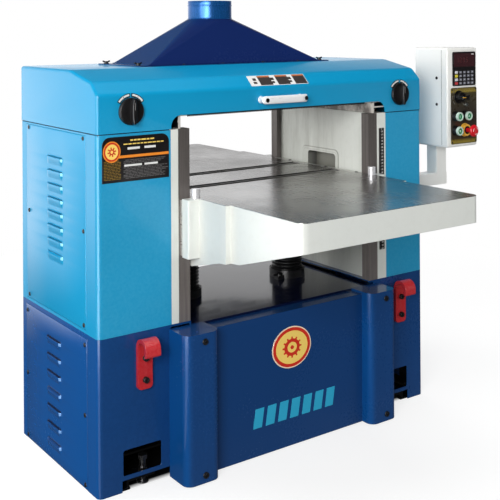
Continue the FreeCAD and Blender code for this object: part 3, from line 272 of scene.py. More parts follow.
def plastic(name, rgb, rough=0.42, grain=0.18, var=0.06, bevel=0.0, coat=0.0, spec=0.5, gs=700.0):
    g = G(name)
    v = g.coord()
    a, b = g.noise(v, 14.0, 3.0), g.noise(v, gs, 2.0)
    col = g.mix(a, scale_c(rgb, 1 - var), scale_c(rgb, 1 + var))
    col = g.mix(g.rng(b, 0.0, 0.12, 0.5, 0.8), col, scale_c(rgb, 0.7))
    rg = g.rng(a, rough * 0.85, rough * 1.2, 0.3, 0.7)
    bp = g.bump(b, grain, 0.0002, g.bevel(bevel) if bevel else None)
    return g.done(g.bsdf(col, rg, 0.0, bp, coat, 0.08, spec))


def cast(name, rgb, rough=0.42, pit=0.35, var=0.04, bevel=3.0, coat=0.1, dirt=0.0):
    """painted casting: filled and sprayed sand-cast surface"""
    g = G(name)
    v = g.coord()
    big, mid, fine = g.noise(v, 3.0, 4.0), g.noise(v, 45.0, 5.0, 0.65), g.noise(v, 260.0, 3.0, 0.6)
    col = g.mix(big, scale_c(rgb, 1 - var), scale_c(rgb, 1 + var))
    col = g.mix(g.rng(mid, 0.0, 0.14, 0.5, 0.8), col, scale_c(rgb, 0.82))
    if dirt > 0:
        col = g.mix(g.math("MULTIPLY", g.rng(g.noise(v, 7.0, 6.0, 0.7), 0.0, 1.0, 0.52, 0.75), dirt), col, C(120, 112, 100))
    rg = g.rng(mid, rough * 0.85, rough * 1.2, 0.35, 0.65)
    bp = g.bump(fine, pit * 0.4, 0.0004, g.bevel(bevel))
    bp = g.bump(mid, pit * 0.35, 0.0012, bp)
    return g.done(g.bsdf(col, rg, 0.0, bp, coat, 0.15))


CYAN, NAVY, HOODC = C(0, 146, 194), C(14, 58, 112), C(18, 36, 86)
# painted light: tone of the navy faces turned to the left
NAVY_LEFT_LIT = C(10, 76, 142)
M = {}
M["cyan"] = paint("cyan_enamel", CYAN, 0.34, 0.05, 0.26, 0.06, 1.6, 0.22, wear_c=C(120, 205, 235), spec=0.36)
# painted shade: inner gives the box inside the cabinets whose faces are made near black
M["navy"] = paint("navy_enamel", NAVY, 0.26, 0.07, 0.42, 0.05, 1.8, 0.25, dust=0.05, wear_c=C(40, 110, 190), spec=0.34, inner=(-0.022, 0.5825, 0.2502, 0.4055), side=NAVY_LEFT_LIT)
# painted reflection: hood facets turned to the left get a tealer tone (side)
M["hood"] = paint("hood_enamel", HOODC, 0.26, 0.08, 0.08, 0.05, 0.8, 0.25, wear_c=C(70, 90, 160), spec=0.10, side=C(6, 70, 118))
M["spigot"] = metal("spigot_enamel", C(20, 86, 150), 0.26, (1, 1, 0.2), 0.04, 0.08, 0.0, None, 0.6, 0.45)
M["deck"] = paint("deck_enamel", C(9, 16, 46), 0.17, 0.15, 0.6, 0.10, 1.0, 0.2, spec=0.4)
M["ivory"] = cast("ivory_casting", C(226, 228, 220), 0.40, 0.30, 0.03, 3.0, 0.15, 0.10)
M["ivory_sheet"] = paint("ivory_sheet", C(242, 242, 238), 0.34, 0.03, 0.30, 0.12, 1.2, 0.15, wear_c=C(245, 245, 245))
# painted reflection: zfade makes the ways lighter lower down
M["way"] = metal("scraped_way", C(112, 106, 103), 0.46, (1, 1, 0.05), 0.35, 0.22, 0.45, C(70, 66, 64), 0.8, 0.35, zfade=(0.45, 0.92, 1.12, 0.60))
M["satin"] = metal("satin_alloy", C(246, 246, 248), 0.30, (0.08, 1, 1), 0.05, 0.04, 0.04, C(210, 208, 206), 0.4, 0.12)
M["satin_z"] = metal("satin_roller", C(226, 226, 230), 0.26, (1, 1, 0.08), 0.06, 0.05, 0.06, C(190, 188, 186), 0.4, 0.35)
M["steel"] = metal("turned_steel", C(188, 190, 192), 0.24, (0.06, 1, 1), 0.10, 0.12, 0.10)
M["dark_steel"] = metal("dark_steel", C(70, 70, 74), 0.40, (1, 1, 1), 0.20, 0.25, 0.30, bevel=0.5)
M["roller_dark"] = metal("bed_roller_steel", C(120, 118, 116), 0.34, (0.05, 1, 1), 0.12, 0.18, 0.30, C(60, 56, 54), 0.4, 0.8)
M["chrome"] = metal("chrome", C(228, 230, 234), 0.10, (0.1, 1, 1), 0.03, 0.04, 0.05, bevel=0.0)
M["zinc"] = metal("zinc_plate", C(176, 178, 174), 0.33, (1, 1, 1), 0.12, 0.15, 0.2, C(130, 120, 90), 0.3)
M["cutter"] = metal("cutter_steel", C(120, 122, 126), 0.30, (0.1, 1, 1), 0.15, 0.15, 0.3)
M["carbide"] = metal("carbide", C(205, 206, 205), 0.18, (1, 1, 1), 0.08, 0.1, 0.0, bevel=0.2)
M["black_steel"] = plastic("blackened_steel", C(26, 26, 28), 0.38, 0.25, 0.2, 0.6)
M["black"] = plastic("black_plastic", C(16, 15, 16), 0.36, 0.20, 0.15)
M["rubber"] = plastic("bellows_rubber", C(17, 17, 19), 0.55, 0.45, 0.2, gs=240.0)
M["red"] = paint("red_enamel", C(186, 8, 26), 0.24, 0.08, 0.55, 0.12, 1.2, 0.35, wear_c=C(240, 120, 120))
M["red_plastic"] = plastic("red_plastic", C(214, 20, 36), 0.30, 0.08, 0.05, 0, 0.3)
M["yellow_plastic"] = plastic("yellow_plastic", C(236, 178, 60), 0.36, 0.10, 0.06)
M["green_plastic"] = plastic("green_plastic", C(0, 130, 78), 0.30, 0.08, 0.08, 0, 0.3)
M["pale_plastic"] = plastic("pale_bezel", C(196, 220, 206), 0.30, 0.10, 0.05)
M["grey_key"] = plastic("grey_keys", C(116, 118, 128), 0.45, 0.2, 0.1)
M["white_key"] = plastic("white_keys", C(222, 222, 228), 0.45, 0.15, 0.05)
M["yellow_key"] = plastic("yellow_keys", C(222, 208, 60), 0.45, 0.15, 0.08)
M["red_key"] = plastic("red_keys", C(196, 60, 62), 0.45, 0.15, 0.08)
M["display"] = plastic("red_window", C(58, 26, 30), 0.12, 0.02, 0.10, 0, 0.6)
M["dim_segment"] = plastic("dim_segments", C(92, 34, 38), 0.3, 0.02, 0.05)
M["label_black"] = plastic("label_black", C(22, 19, 20), 0.34, 0.05, 0.15, 0, 0.2)
M["label_white"] = plastic("label_white", C(228, 228, 226), 0.38, 0.05, 0.03, 0, 0.2)
M["label_grey"] = plastic("label_grey", C(112, 110, 110), 0.40, 0.05, 0.08)
M["label_orange"] = plastic("label_orange", C(238, 138, 40), 0.36, 0.05, 0.06, 0, 0.2)
M["label_rust"] = plastic("label_rust", C(186, 104, 62), 0.36, 0.05, 0.06)
M["label_dim"] = plastic("label_dim", C(62, 56, 55), 0.38, 0.05, 0.10)
M["label_ochre"] = plastic("label_ochre", C(150, 120, 44), 0.36, 0.05, 0.08)
M["badge_cream"] = plastic("badge_cream", C(250, 226, 196), 0.30, 0.04, 0.03, 0, 0.3)
M["badge_red"] = plastic("badge_red", C(208, 44, 24), 0.30, 0.04, 0.05, 0, 0.3)
M["badge_yellow"] = plastic("badge_yellow", C(250, 214, 108), 0.30, 0.04, 0.05, 0, 0.3)
M["accent"] = plastic("accent_cyan", C(40, 168, 208), 0.32, 0.05, 0.05, 0, 0.3)
# painted shade: near-black for the shaded seam gap under the cover and the louvre openings
M["seam"] = plastic("seam_painted_shade", C(8, 30, 50), 0.6, 0.3, 0.2)
M["cable"] = plastic("cable_sheath", C(30, 30, 32), 0.5, 0.3, 0.1)
M["belt"] = plastic("belt_rubber", C(22, 22, 23), 0.6, 0.4, 0.2, gs=300.0)
M["motor"] = cast("motor_grey", C(96, 104, 112), 0.45, 0.4, 0.08, 1.5, 0.1, 0.2)


def table_material():
    g = G("table_ground_and_painted")
    x, y, z = g.xyz()
    geo = g.n("ShaderNodeNewGeometry")
    v = g.coord()
    # ground top: fine lengthwise grain, cross hatching, soft stains
    grain = g.noise(g.coord((1, 0.035, 1)), 330.0, 6.0, 0.7)
    cross = g.noise(g.coord((0.05, 1, 1), (3, 1, 2)), 210.0, 4.0, 0.6)
    cloud = g.noise(v, 4.5, 5.0, 0.6)
    steel = g.mix(grain, C(192, 191, 190), C(216, 215, 214))
    steel = g.mix(g.rng(cross, 0.0, 0.12, 0.5, 0.8), steel, C(120, 118, 116))
    steel = g.mix(g.rng(cloud, 0.0, 0.07, 0.42, 0.7), steel, C(136, 134, 133))
    # painted reflection and shade, partly oil stain: the ground top darkens towards the right, where the dark right
    # casting and way are reflected
    stain_and_dark_reflection = g.math("MULTIPLY", g.rng(g.math("ADD", x, g.math("MULTIPLY", y, 0.25)), 0.0, 1.0, -0.16, 0.10), g.rng(cloud, 0.82, 1.0, 0.35, 0.65))
    steel = g.mix(g.math("MULTIPLY", stain_and_dark_reflection, 0.66), steel, C(90, 84, 80))
    rg = g.rng(g.math("ADD", g.math("MULTIPLY", grain, 0.5), g.math("MULTIPLY", cloud, 0.5)), 0.20, 0.32, 0.35, 0.65)
    nb = g.bump(grain, 0.05, 0.0002, g.bevel(2.0))
    top = g.bsdf(steel, rg, 0.92, nb, 0.0, 0.1, 0.5, 0.0)
    # painted casting below
    mid, fine = g.noise(v, 45.0, 5.0, 0.65), g.noise(v, 260.0, 3.0, 0.6)
    iv = g.mix(g.noise(v, 3.0, 4.0), C(222, 226, 222), C(238, 240, 234))
    iv = g.mix(g.rng(mid, 0.0, 0.12, 0.5, 0.8), iv, C(190, 190, 180))
    # painted shade: the walls of the bed roller slots are made near black
    for yc in (-0.128, 0.070):
        slot = g.math("MULTIPLY", g.rng(g.math("ABSOLUTE", g.math("SUBTRACT", y, yc)), 1.0, 0.0, 0.0250, 0.0256), g.rng(g.math("ABSOLUTE", x), 1.0, 0.0, 0.306, 0.3065))
        slot = g.math("MULTIPLY", slot, g.rng(z, 0.0, 1.0, 0.690, 0.695))
        iv = g.mix(slot, iv, C(6, 6, 7))
    und = g.rng(z, 1.0, 0.0, 0.55, 0.66)
    iv = g.mix(g.math("MULTIPLY", und, 0.12), iv, C(150, 146, 136))
    bp = g.bump(fine, 0.12, 0.0004, g.bevel(3.0))
    bp = g.bump(mid, 0.10, 0.0012, bp)
    pa = g.bsdf(iv, g.rng(mid, 0.32, 0.46, 0.35, 0.65), 0.0, bp, 0.15, 0.15)
    sel = g.rng(z, 0.0, 1.0, 0.7438, 0.7444)
    ms = g.n("ShaderNodeMixShader")
    g.link(sel, ms.inputs[0])
    g.link(pa, ms.inputs[1])
    g.link(top, ms.inputs[2])
    return g.done(ms.outputs[0])


# painted shade and painted highlight: darker copies of the enamels for the shaded top lips of the louvre scoops,
# lighter copies for the lit front ends of the scoops
M["cyan_shade"] = plastic("cyan_enamel_shade", C(0, 118, 158), 0.4)
M["navy_shade"] = plastic("navy_enamel_shade", C(4, 22, 58), 0.4)
M["cyan_rub"] = plastic("cyan_enamel_painted_highlight", C(150, 226, 244), 0.3)
M["navy_rub"] = plastic("navy_enamel_painted_highlight", C(120, 168, 226), 0.3)
M["bolt_dull"] = metal("bolt_dull_zinc", C(112, 112, 114), 0.30, spots=0.2, spot_c=C(40, 38, 36))
M["table"] = table_material()


def strip_material():
    """bright ground wear strips held by small blackened screws"""
    g = G("wear_strip_steel")
    x, y, z = g.xyz()
    v = g.coord()
    grain = g.noise(g.coord((1, 0.04, 1)), 320.0, 5.0, 0.7)
    col = g.mix(grain, C(186, 186, 182), C(222, 222, 218))
    col = g.mix(g.rng(g.noise(v, 30.0, 5.0, 0.7), 0.0, 0.35, 0.55, 0.8), col, C(120, 116, 108))
    dx = g.math("ABSOLUTE", g.math("SUBTRACT", g.math("ABSOLUTE", x), 0.3185))
    near = None
    for yy in (-0.208, -0.059, 0.132):
        dy = g.math("ABSOLUTE", g.math("SUBTRACT", y, yy))
        a = g.rng(g.math("SQRT", g.math("ADD", g.math("MULTIPLY", dx, dx), g.math("MULTIPLY", dy, dy))), 1.0, 0.0, 0.0066, 0.0072)
        near = a if near is None else g.math("MAXIMUM", near, a)
    col = g.mix(near, col, C(24, 24, 25))
    met = g.math("MULTIPLY", g.math("SUBTRACT", 1.0, near), 0.55)
    return g.done(g.bsdf(col, g.rng(grain, 0.24, 0.36, 0.35, 0.65), met, g.bump(grain, 0.08, 0.0002, g.bevel(0.5))))


M["strip"] = strip_material()


def casting_edge_material():
    """side frames: ivory outside and in"""
    g = G("frame_casting")
    x, y, z = g.xyz()
    v = g.coord()
    mid, fine = g.noise(v, 40.0, 5.0, 0.65), g.noise(v, 240.0, 3.0, 0.6)
    iv = g.mix(g.noise(v, 3.0, 4.0), C(214, 218, 212), C(234, 236, 230))
    iv = g.mix(g.rng(mid, 0.0, 0.16, 0.5, 0.8), iv, C(186, 186, 176))
    smear = g.noise(g.coord((1, 1, 0.12)), 28.0, 5.0, 0.7)
    iv = g.mix(g.math("MULTIPLY", g.rng(smear, 0.0, 1.0, 0.55, 0.8), 0.25), iv, C(158, 154, 144))
    ax = g.math("ABSOLUTE", x)
    # painted shade: the inner walls are darker towards the machine's middle
    far = g.math("MULTIPLY", g.rng(y, 0.0, 1.0, -0.16, 0.0), g.rng(ax, 1.0, 0.0, 0.3485, 0.3560))
    iv = g.mix(g.math("MULTIPLY", far, g.rng(smear, 0.30, 0.62, 0.3, 0.7)), iv, C(128, 128, 120))
    # shadow-grey pocket, nearly black at its far end
    py = g.math("ABSOLUTE", g.math("ADD", y, 0.004))
    pz = g.math("ABSOLUTE", g.math("SUBTRACT", z, 0.7235))
    inb = g.math("MULTIPLY", g.math("MULTIPLY", g.rng(py, 1.0, 0.0, 0.0708, 0.0716), g.rng(pz, 1.0, 0.0, 0.0615, 0.0622)), g.rng(ax, 0.0, 1.0, 0.3465, 0.3475))
    deep = g.math("MULTIPLY", g.rng(y, 0.0, 1.0, 0.060, 0.0675), g.rng(ax, 0.25, 1.0, 0.347, 0.376))
    iv = g.mix(inb, iv, C(112, 112, 105))
    iv = g.mix(g.math("MULTIPLY", inb, deep), iv, C(10, 11, 11))
    # painted shade: fine dark lines where the raised rim meets the wall
    ry = g.math("MAXIMUM", g.math("SUBTRACT", g.math("ABSOLUTE", g.math("SUBTRACT", y, 0.005)), 0.076), 0.0)
    rz = g.math("MAXIMUM", g.math("SUBTRACT", g.math("ABSOLUTE", g.math("SUBTRACT", z, 0.724)), 0.057), 0.0)
    rd = g.math("SUBTRACT", g.math("SQRT", g.math("ADD", g.math("MULTIPLY", ry, ry), g.math("MULTIPLY", rz, rz))), 0.0175)
    ln = g.rng(g.math("ABSOLUTE", rd), 0.55, 0.0, 0.0006, 0.0022)
    iv = g.mix(g.math("MULTIPLY", ln, g.rng(ax, 0.0, 1.0, 0.3455, 0.3459)), iv, C(120, 118, 108))
    ln2 = g.rng(g.math("ABSOLUTE", g.math("ADD", rd, 0.0085)), 0.35, 0.0, 0.0006, 0.0018)
    iv = g.mix(g.math("MULTIPLY", ln2, g.rng(ax, 0.0, 1.0, 0.3455, 0.3459)), iv, C(135, 133, 122))
    # rough step above the ways in darker and lighter patches; painted shade, near black, behind the arch corners except
    # the edge of the shelf
    top = g.rng(z, 0.0, 1.0, 0.9315, 0.9322)
    patch = g.noise(g.coord((1, 1, 0.6), (2, 1, 0)), 21.0, 4.0, 0.6)
    iv = g.mix(top, iv, g.mix(g.rng(patch, 0.0, 1.0, 0.40, 0.60), C(104, 98, 93), C(204, 199, 192)))
    corner = g.math("MULTIPLY", g.rng(z, 0.0, 1.0, 0.9325, 0.9332), g.rng(ax, 0.0, 1.0, 0.3612, 0.3618))
    iv = g.mix(corner, iv, C(6, 7, 12))
    shelf = g.math("MULTIPLY", corner, g.math("MULTIPLY", g.rng(g.math("ABSOLUTE", g.math("SUBTRACT", z, 0.951)), 1.0, 0.0, 0.0022, 0.0028), g.rng(g.math("ABSOLUTE", y), 0.0, 1.0, 0.2440, 0.2445)))
    iv = g.mix(shelf, iv, C(214, 212, 204))
    bp = g.bump(fine, 0.14, 0.0004, g.bevel(2.0))
    bp = g.bump(mid, 0.12, 0.0012, bp)
    return g.done(g.bsdf(iv, g.rng(mid, 0.34, 0.5, 0.35, 0.65), 0.0, bp, 0.12, 0.15))


M["frame_cast"] = casting_edge_material()


def switch_plate_material():
    g = G("switch_plate_film")
    x, y, z = g.xyz()
    v = g.coord()
    band = g.ramp(g.rng(z, 0.0, 1.0, 0.802, 0.995), [
        (0.00, C(60, 52, 18)), (0.03, C(150, 132, 50)), (0.075, C(116, 98, 36)), (0.095, C(58, 48, 34)),
        (0.55, C(52, 44, 38)), (0.80, C(62, 56, 40)), (0.90, C(66, 58, 30)), (0.925, C(140, 122, 46)), (0.975, C(120, 104, 40)), (1.0, C(40, 34, 16))])
    n = g.noise(v, 70.0, 4.0)
    col = g.mix(g.rng(n, 0.0, 0.35, 0.45, 0.75), band, C(34, 30, 24))
    return g.done(g.bsdf(col, g.rng(n, 0.26, 0.40, 0.35, 0.65), 0.0, g.bump(g.noise(v, 600.0, 2.0), 0.06, 0.0002), 0.25, 0.1))


M["switch_film"] = switch_plate_material()


# ------------------------------------------------------------------ mesh building
class P:
    """collects shapes in mm into one piece"""

    def __init__(self):
        self.v, self.f, self.mi, self.sm = [], [], [], []

    def add_bm(self, bm, mi=0, smooth=True):
        o = len(self.v)
        bm.verts.index_update()
        for v in bm.verts:
            self.v.append((v.co.x * MM, v.co.y * MM, v.co.z * MM))
        for f in bm.faces:
            self.f.append([o + v.index for v in f.verts])
            self.mi.append(mi)
            self.sm.append(smooth)
        bm.free()
        return self

    def box(self, x0, x1, y0, y1, z0, z1, r=0.0, seg=3, mi=0, mat=None):
        bm = bmesh.new()
        bmesh.ops.create_cube(bm, size=1.0)
        sx, sy, sz = abs(x1 - x0), abs(y1 - y0), abs(z1 - z0)
        for v in bm.verts:
            v.co = Vector((v.co.x * sx, v.co.y * sy, v.co.z * sz))
        if r > 0:
            bmesh.ops.bevel(bm, geom=list(bm.edges), offset=min(r, 0.49 * min(sx, sy, sz)), segments=seg, profile=0.5, affect="EDGES")
        m = Matrix.Translation(((x0 + x1) / 2, (y0 + y1) / 2, (z0 + z1) / 2))
        if mat is not None:
            m = mat @ m
        bmesh.ops.transform(bm, matrix=m, verts=bm.verts)
        return self.add_bm(bm, mi)

    def lathe(self, prof, origin, axis="Z", seg=40, mi=0, a0=0.0, a1=360.0):
        """prof: (radius, along axis) points"""
        full = abs(a1 - a0 - 360.0) < 1e-6
        n = seg if full else seg + 1
        o = len(self.v)
        ox, oy, oz = origin
        rings = []
        for r, t in prof:
            ring = []
            if r < 1e-6:
                ring = [len(self.v)] * n
                self.v.append(self._axis(0, 0, t, ox, oy, oz, axis))
            else:
                for i in range(n):
                    a = math.radians(a0 + (a1 - a0) * i / seg)
                    ring.append(len(self.v))
                    self.v.append(self._axis(r * math.cos(a), r * math.sin(a), t, ox, oy, oz, axis))
            rings.append(ring)
        for k in range(len(rings) - 1):
            A, Bq = rings[k], rings[k + 1]
            for i in range(n if full else n - 1):
                j = (i + 1) % n
                q = [A[i], A[j], Bq[j], Bq[i]]
                u = []
                for w in q:
                    if w not in u:
                        u.append(w)
                if len(u) > 2:
                    self.f.append(u)
                    self.mi.append(mi)
                    self.sm.append(True)
        return self

    @staticmethod
    def _axis(a, b, t, ox, oy, oz, axis):
        if axis == "Z":
            p = (ox + a, oy + b, oz + t)
        elif axis == "X":
            p = (ox + t, oy + a, oz + b)
        else:
            p = (ox + a, oy + t, oz + b)
        return (p[0] * MM, p[1] * MM, p[2] * MM)

    def prism(self, pts, plane, a, b, r=0.0, seg=2, mi=0, holes=None):
        """closed outline pts in a plane, thick from a to b, optional rim rounding"""
        bm = bmesh.new()
        def co(p, t):
            if plane == "XZ":
                return (p[0], t, p[1])
            if plane == "YZ":
                return (t, p[0], p[1])
            return (p[0], p[1], t)
        lo = [bm.verts.new(co(p, a)) for p in pts]
        hi = [bm.verts.new(co(p, b)) for p in pts]
        n = len(pts)
        f1 = bm.faces.new(lo)
        f2 = bm.faces.new(hi[::-1])
        for i in range(n):
            bm.faces.new([lo[i], hi[i], hi[(i + 1) % n], lo[(i + 1) % n]])
        bmesh.ops.recalc_face_normals(bm, faces=bm.faces)
        if r > 0:
            rim = [e for e in bm.edges if (f1 in e.link_faces or f2 in e.link_faces)]
            bmesh.ops.bevel(bm, geom=rim, offset=r, segments=seg, profile=0.5, affect="EDGES")
        return self.add_bm(bm, mi)

    def ring(self, ro, ri, y0, y1, x, z, seg=48, mi=0, a0=0.0, a1=360.0, ez=1.0):
        """flat ring or arc facing -Y; ez squeezes it in z"""
        o = len(self.v)
        n = seg + 1
        for i in range(n):
            a = math.radians(a0 + (a1 - a0) * i / seg)
            for r, y in ((ro, y0), (ri, y0), (ro, y1), (ri, y1)):
                self.v.append(((x + r * math.cos(a)) * MM, y * MM, (z + ez * r * math.sin(a)) * MM))
        for i in range(n - 1):
            k, l = o + 4 * i, o + 4 * (i + 1)
            for q in ([k, l, l + 1, k + 1], [k + 2, k + 3, l + 3, l + 2], [k, k + 2, l + 2, l], [k + 1, l + 1, l + 3, k + 3]):
                self.f.append(q)
                self.mi.append(mi)
                self.sm.append(False)
        return self

    def tube(self, path, r, seg=12, mi=0):
        pts = [Vector(p) for p in path]
        o = len(self.v)
        up = Vector((0, 0, 1))
        for k, p in enumerate(pts):
            d = (pts[min(k + 1, len(pts) - 1)] - pts[max(k - 1, 0)]).normalized()
            s = d.cross(up)
            if s.length < 1e-3:
                s = d.cross(Vector((0, 1, 0)))
            s.normalize()
            t = s.cross(d).normalized()
            rr = r[k] if isinstance(r, (list, tuple)) else r
            for i in range(seg):
                a = 2 * math.pi * i / seg
                c = p + s * (rr * math.cos(a)) + t * (rr * math.sin(a))
                self.v.append((c.x * MM, c.y * MM, c.z * MM))
        for k in range(len(pts) - 1):
            for i in range(seg):
                j = (i + 1) % seg
                self.f.append([o + k * seg + i, o + k * seg + j, o + (k + 1) * seg + j, o + (k + 1) * seg + i])
                self.mi.append(mi)
                self.sm.append(True)
        for base, rev in ((o, True), (o + (len(pts) - 1) * seg, False)):
            loop = [base + i for i in range(seg)]
            self.f.append(loop[::-1] if rev else loop)
            self.mi.append(mi)
            self.sm.append(False)
        return self

    def make(self, name, mats, body=None, angle=35.0, fix=True):
        me = bpy.data.meshes.new(name)
        me.from_pydata(self.v, [], self.f)
        for m in mats:
            me.materials.append(M[m] if isinstance(m, str) else m)
        me.polygons.foreach_set("material_index", self.mi)
        me.polygons.foreach_set("use_smooth", self.sm)
        me.validate()
        me.update()
        if fix:
            bm = bmesh.new()
            bm.from_mesh(me)
            bmesh.ops.recalc_face_normals(bm, faces=bm.faces)
            bm.to_mesh(me)
            bm.free()
        me.set_sharp_from_angle(angle=math.radians(angle))
        ob = bpy.data.objects.new(name, me)
        scene.collection.objects.link(ob)
        if body:
            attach(ob, body)
        return ob


def rrect(x0, x1, z0, z1, r, n=6, corners=(1, 1, 1, 1)):
    """outline of a rounded rectangle, corners: low-left, low-right, top-right, top-left"""
    out = []
    cs = [((x0 + r, z0 + r), 180), ((x1 - r, z0 + r), 270), ((x1 - r, z1 - r), 0), ((x0 + r, z1 - r), 90)]
    pl = [(x0, z0), (x1, z0), (x1, z1), (x0, z1)]
    for k, ((cx, cz), a) in enumerate(cs):
        if corners[k] and r > 0:
            for i in range(n + 1):
                t = math.radians(a + 90.0 * i / n)
                out.append((cx + r * math.cos(t), cz + r * math.sin(t)))
        else:
            out.append(pl[k])
    return out


def boolean(a, b, op="DIFFERENCE"):
    m = a.modifiers.new("b", "BOOLEAN")
    m.operation = op
    m.solver = "EXACT"
    m.object = b
    dg = bpy.context.evaluated_depsgraph_get()
    me = bpy.data.meshes.new_from_object(a.evaluated_get(dg))
    a.modifiers.clear()
    a.data = me
    bpy.data.objects.remove(b, do_unlink=True)
    return a


# ------------------------------------------------------------------ materials of the CAD nodes
CADM = {
    "base_cabinet_left": "navy", "base_cabinet_right": "navy", "base_frame": "navy", "levelling_bolts": "bolt_dull",
    "base_front_cover": "navy", "base_rear_cover": "navy", "base_deck": "deck", "column_casting_left": "frame_cast",
    "column_casting_right": "frame_cast", "column_ways": "way", "column_cover_left": "cyan", "column_cover_right": "cyan",
    "vent_panel_upper_left": "cyan", "vent_panel_lower_left": "navy", "side_panels_right": "cyan", "cabinet_screws": "black_steel",
    "lifting_hooks": "red", "head_casting": "ivory", "head_bearings": "steel", "cutterhead": "cutter", "cutterhead_inserts": "carbide",
    "main_motor": "motor", "motor_rotor": "steel", "drive_belts": "belt", "infeed_roller": "dark_steel", "outfeed_roller": "steel",
    "feed_chain": "dark_steel", "feed_gearbox": "motor", "chip_breaker": "dark_steel", "head_cross_bars": "black_steel",
    "kickback_fingers": "black_steel", "table": "table", "bed_roller_front": "roller_dark", "bed_roller_rear": "roller_dark",
    "edge_roller_left": "satin_z", "edge_roller_right": "satin_z", "table_strips": "strip", "height_pointer": "zinc",
    "lift_screws": "steel", "lift_nut_left": "dark_steel", "lift_nut_right": "dark_steel", "screw_collars": "black_steel",
    "screw_bellows": "rubber", "collar_lock_lever": "black_steel", "top_cover": "cyan", "cover_hinges": "black_steel",
    "cover_handle": "satin", "latch_knob_left": "black", "latch_knob_right": "black", "dust_hood": "hood", "height_scale": "label_black",
    "control_arm": "ivory_sheet", "control_box": "ivory_sheet", "switch_plate": "switch_film", "readout_panel": "label_black",
    "rotary_switch": "black", "start_button": "green_plastic", "table_up_button": "green_plastic", "table_down_button": "green_plastic",
    "emergency_stop_button": "red_plastic",
}
for nm, ob in N.items():
    ob.data.materials.clear()
    ob.data.materials.append(M[CADM[nm]])
    for p in ob.data.polygons:
        p.material_index = 0


# ------------------------------------------------------------------ top cover: folded sheet, rounded corners, arched openings
def cover_prism(o, x0, x1, r, drop):
    pts = [(YF + o, Z_SEAM - drop), (YF + o, Z_F3 - 0.3 * o), (Y_F2 + 0.72 * o, Z_F2 - 0.72 * o), (Y_F1 + 0.1 * o, Z_TOP - o), (YB - o, Z_TOP - o), (YB - o, Z_SEAM - drop)]
    bm = bmesh.new()
    lo = [bm.verts.new((x0, y, z)) for y, z in pts]
    hi = [bm.verts.new((x1, y, z)) for y, z in pts]
    bm.faces.new(lo)
    bm.faces.new(hi[::-1])
    n = len(pts)
    for i in range(n):
        bm.faces.new([lo[i], hi[i], hi[(i + 1) % n], lo[(i + 1) % n]])
    bmesh.ops.recalc_face_normals(bm, faces=bm.faces)
    zb = Z_SEAM - drop
    eds = [e for e in bm.edges if not (abs(e.verts[0].co.z - zb) < 0.01 and abs(e.verts[1].co.z - zb) < 0.01)]
    bmesh.ops.bevel(bm, geom=eds, offset=r, segments=5, profile=0.5, affect="EDGES")
    return P().add_bm(bm)


tc = cover_prism(0.0, XL, XR, 9.0, 0.0).make("top_cover_sheet", ["cyan"], None)
tci = cover_prism(3.0, XL + 3, XR - 3, 6.5, 5.0).make("tmp_inner", ["cyan"], None)
boolean(tc, tci)
for y0, y1 in ((YF - 5, YF + 8), (YB - 8, YB + 5)):
    c = P().prism(rrect(XCL + 2, XCR - 2, Z_SEAM - 20, 969, 31, 10, (0, 0, 1, 1)), "XZ", y0, y1).make("tmp_arch", ["cyan"], None)
    boolean(tc, c)
c = P().box(-333, 278, -47, 153, Z_TOP - 8, Z_TOP + 4).make("tmp_duct", ["cyan"], None)
boolean(tc, c)
for p in tc.data.polygons:
    p.use_smooth = True
tc.data.set_sharp_from_angle(angle=math.radians(28))
tc.name = "top_cover_sheet"
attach(tc, "top_cover")
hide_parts("top_cover")
# hinge knuckles of the cover
hem = P()
for x0, x1 in ((-500, -470), (430, 460)):
    hem.lathe([(3.6, x0), (6.0, x0), (6.0, x1), (3.6, x1), (3.6, x0)], (0, 260, 934), "X", 20)
    hem.box(x0, x1, 252.2, 259.5, 934.8, 939.6, 0.6)
    hem.box(x0, x1, 252.2, 255.8, 936, 964, 0.8)
hem.make("cover_hinge_knuckles", ["cyan"], "top_cover")
# painted shade: dark strips inside the gap where the cover meets the cabinets
seam = P()
for x0, x1 in ((XL + 4, XCL - 2), (XCR + 2, XR - 4)):
    for y0, y1 in ((YF + 3.4, YF + 6.0), (YB - 6.0, YB - 3.4)):
        seam.box(x0, x1, y0, y1, Z_SEAM - 7.0, Z_SEAM + 0.6, 0.6, 2)
seam.box(XL + 3.4, XL + 6, YF + 5, YB - 5, Z_SEAM - 7.0, Z_SEAM + 0.6, 0.6, 2).box(XR - 6, XR - 3.4, YF + 5, YB - 5, Z_SEAM - 7.0, Z_SEAM + 0.6, 0.6, 2)
seam.make("cover_seam_painted_shade", ["seam"], "frame")


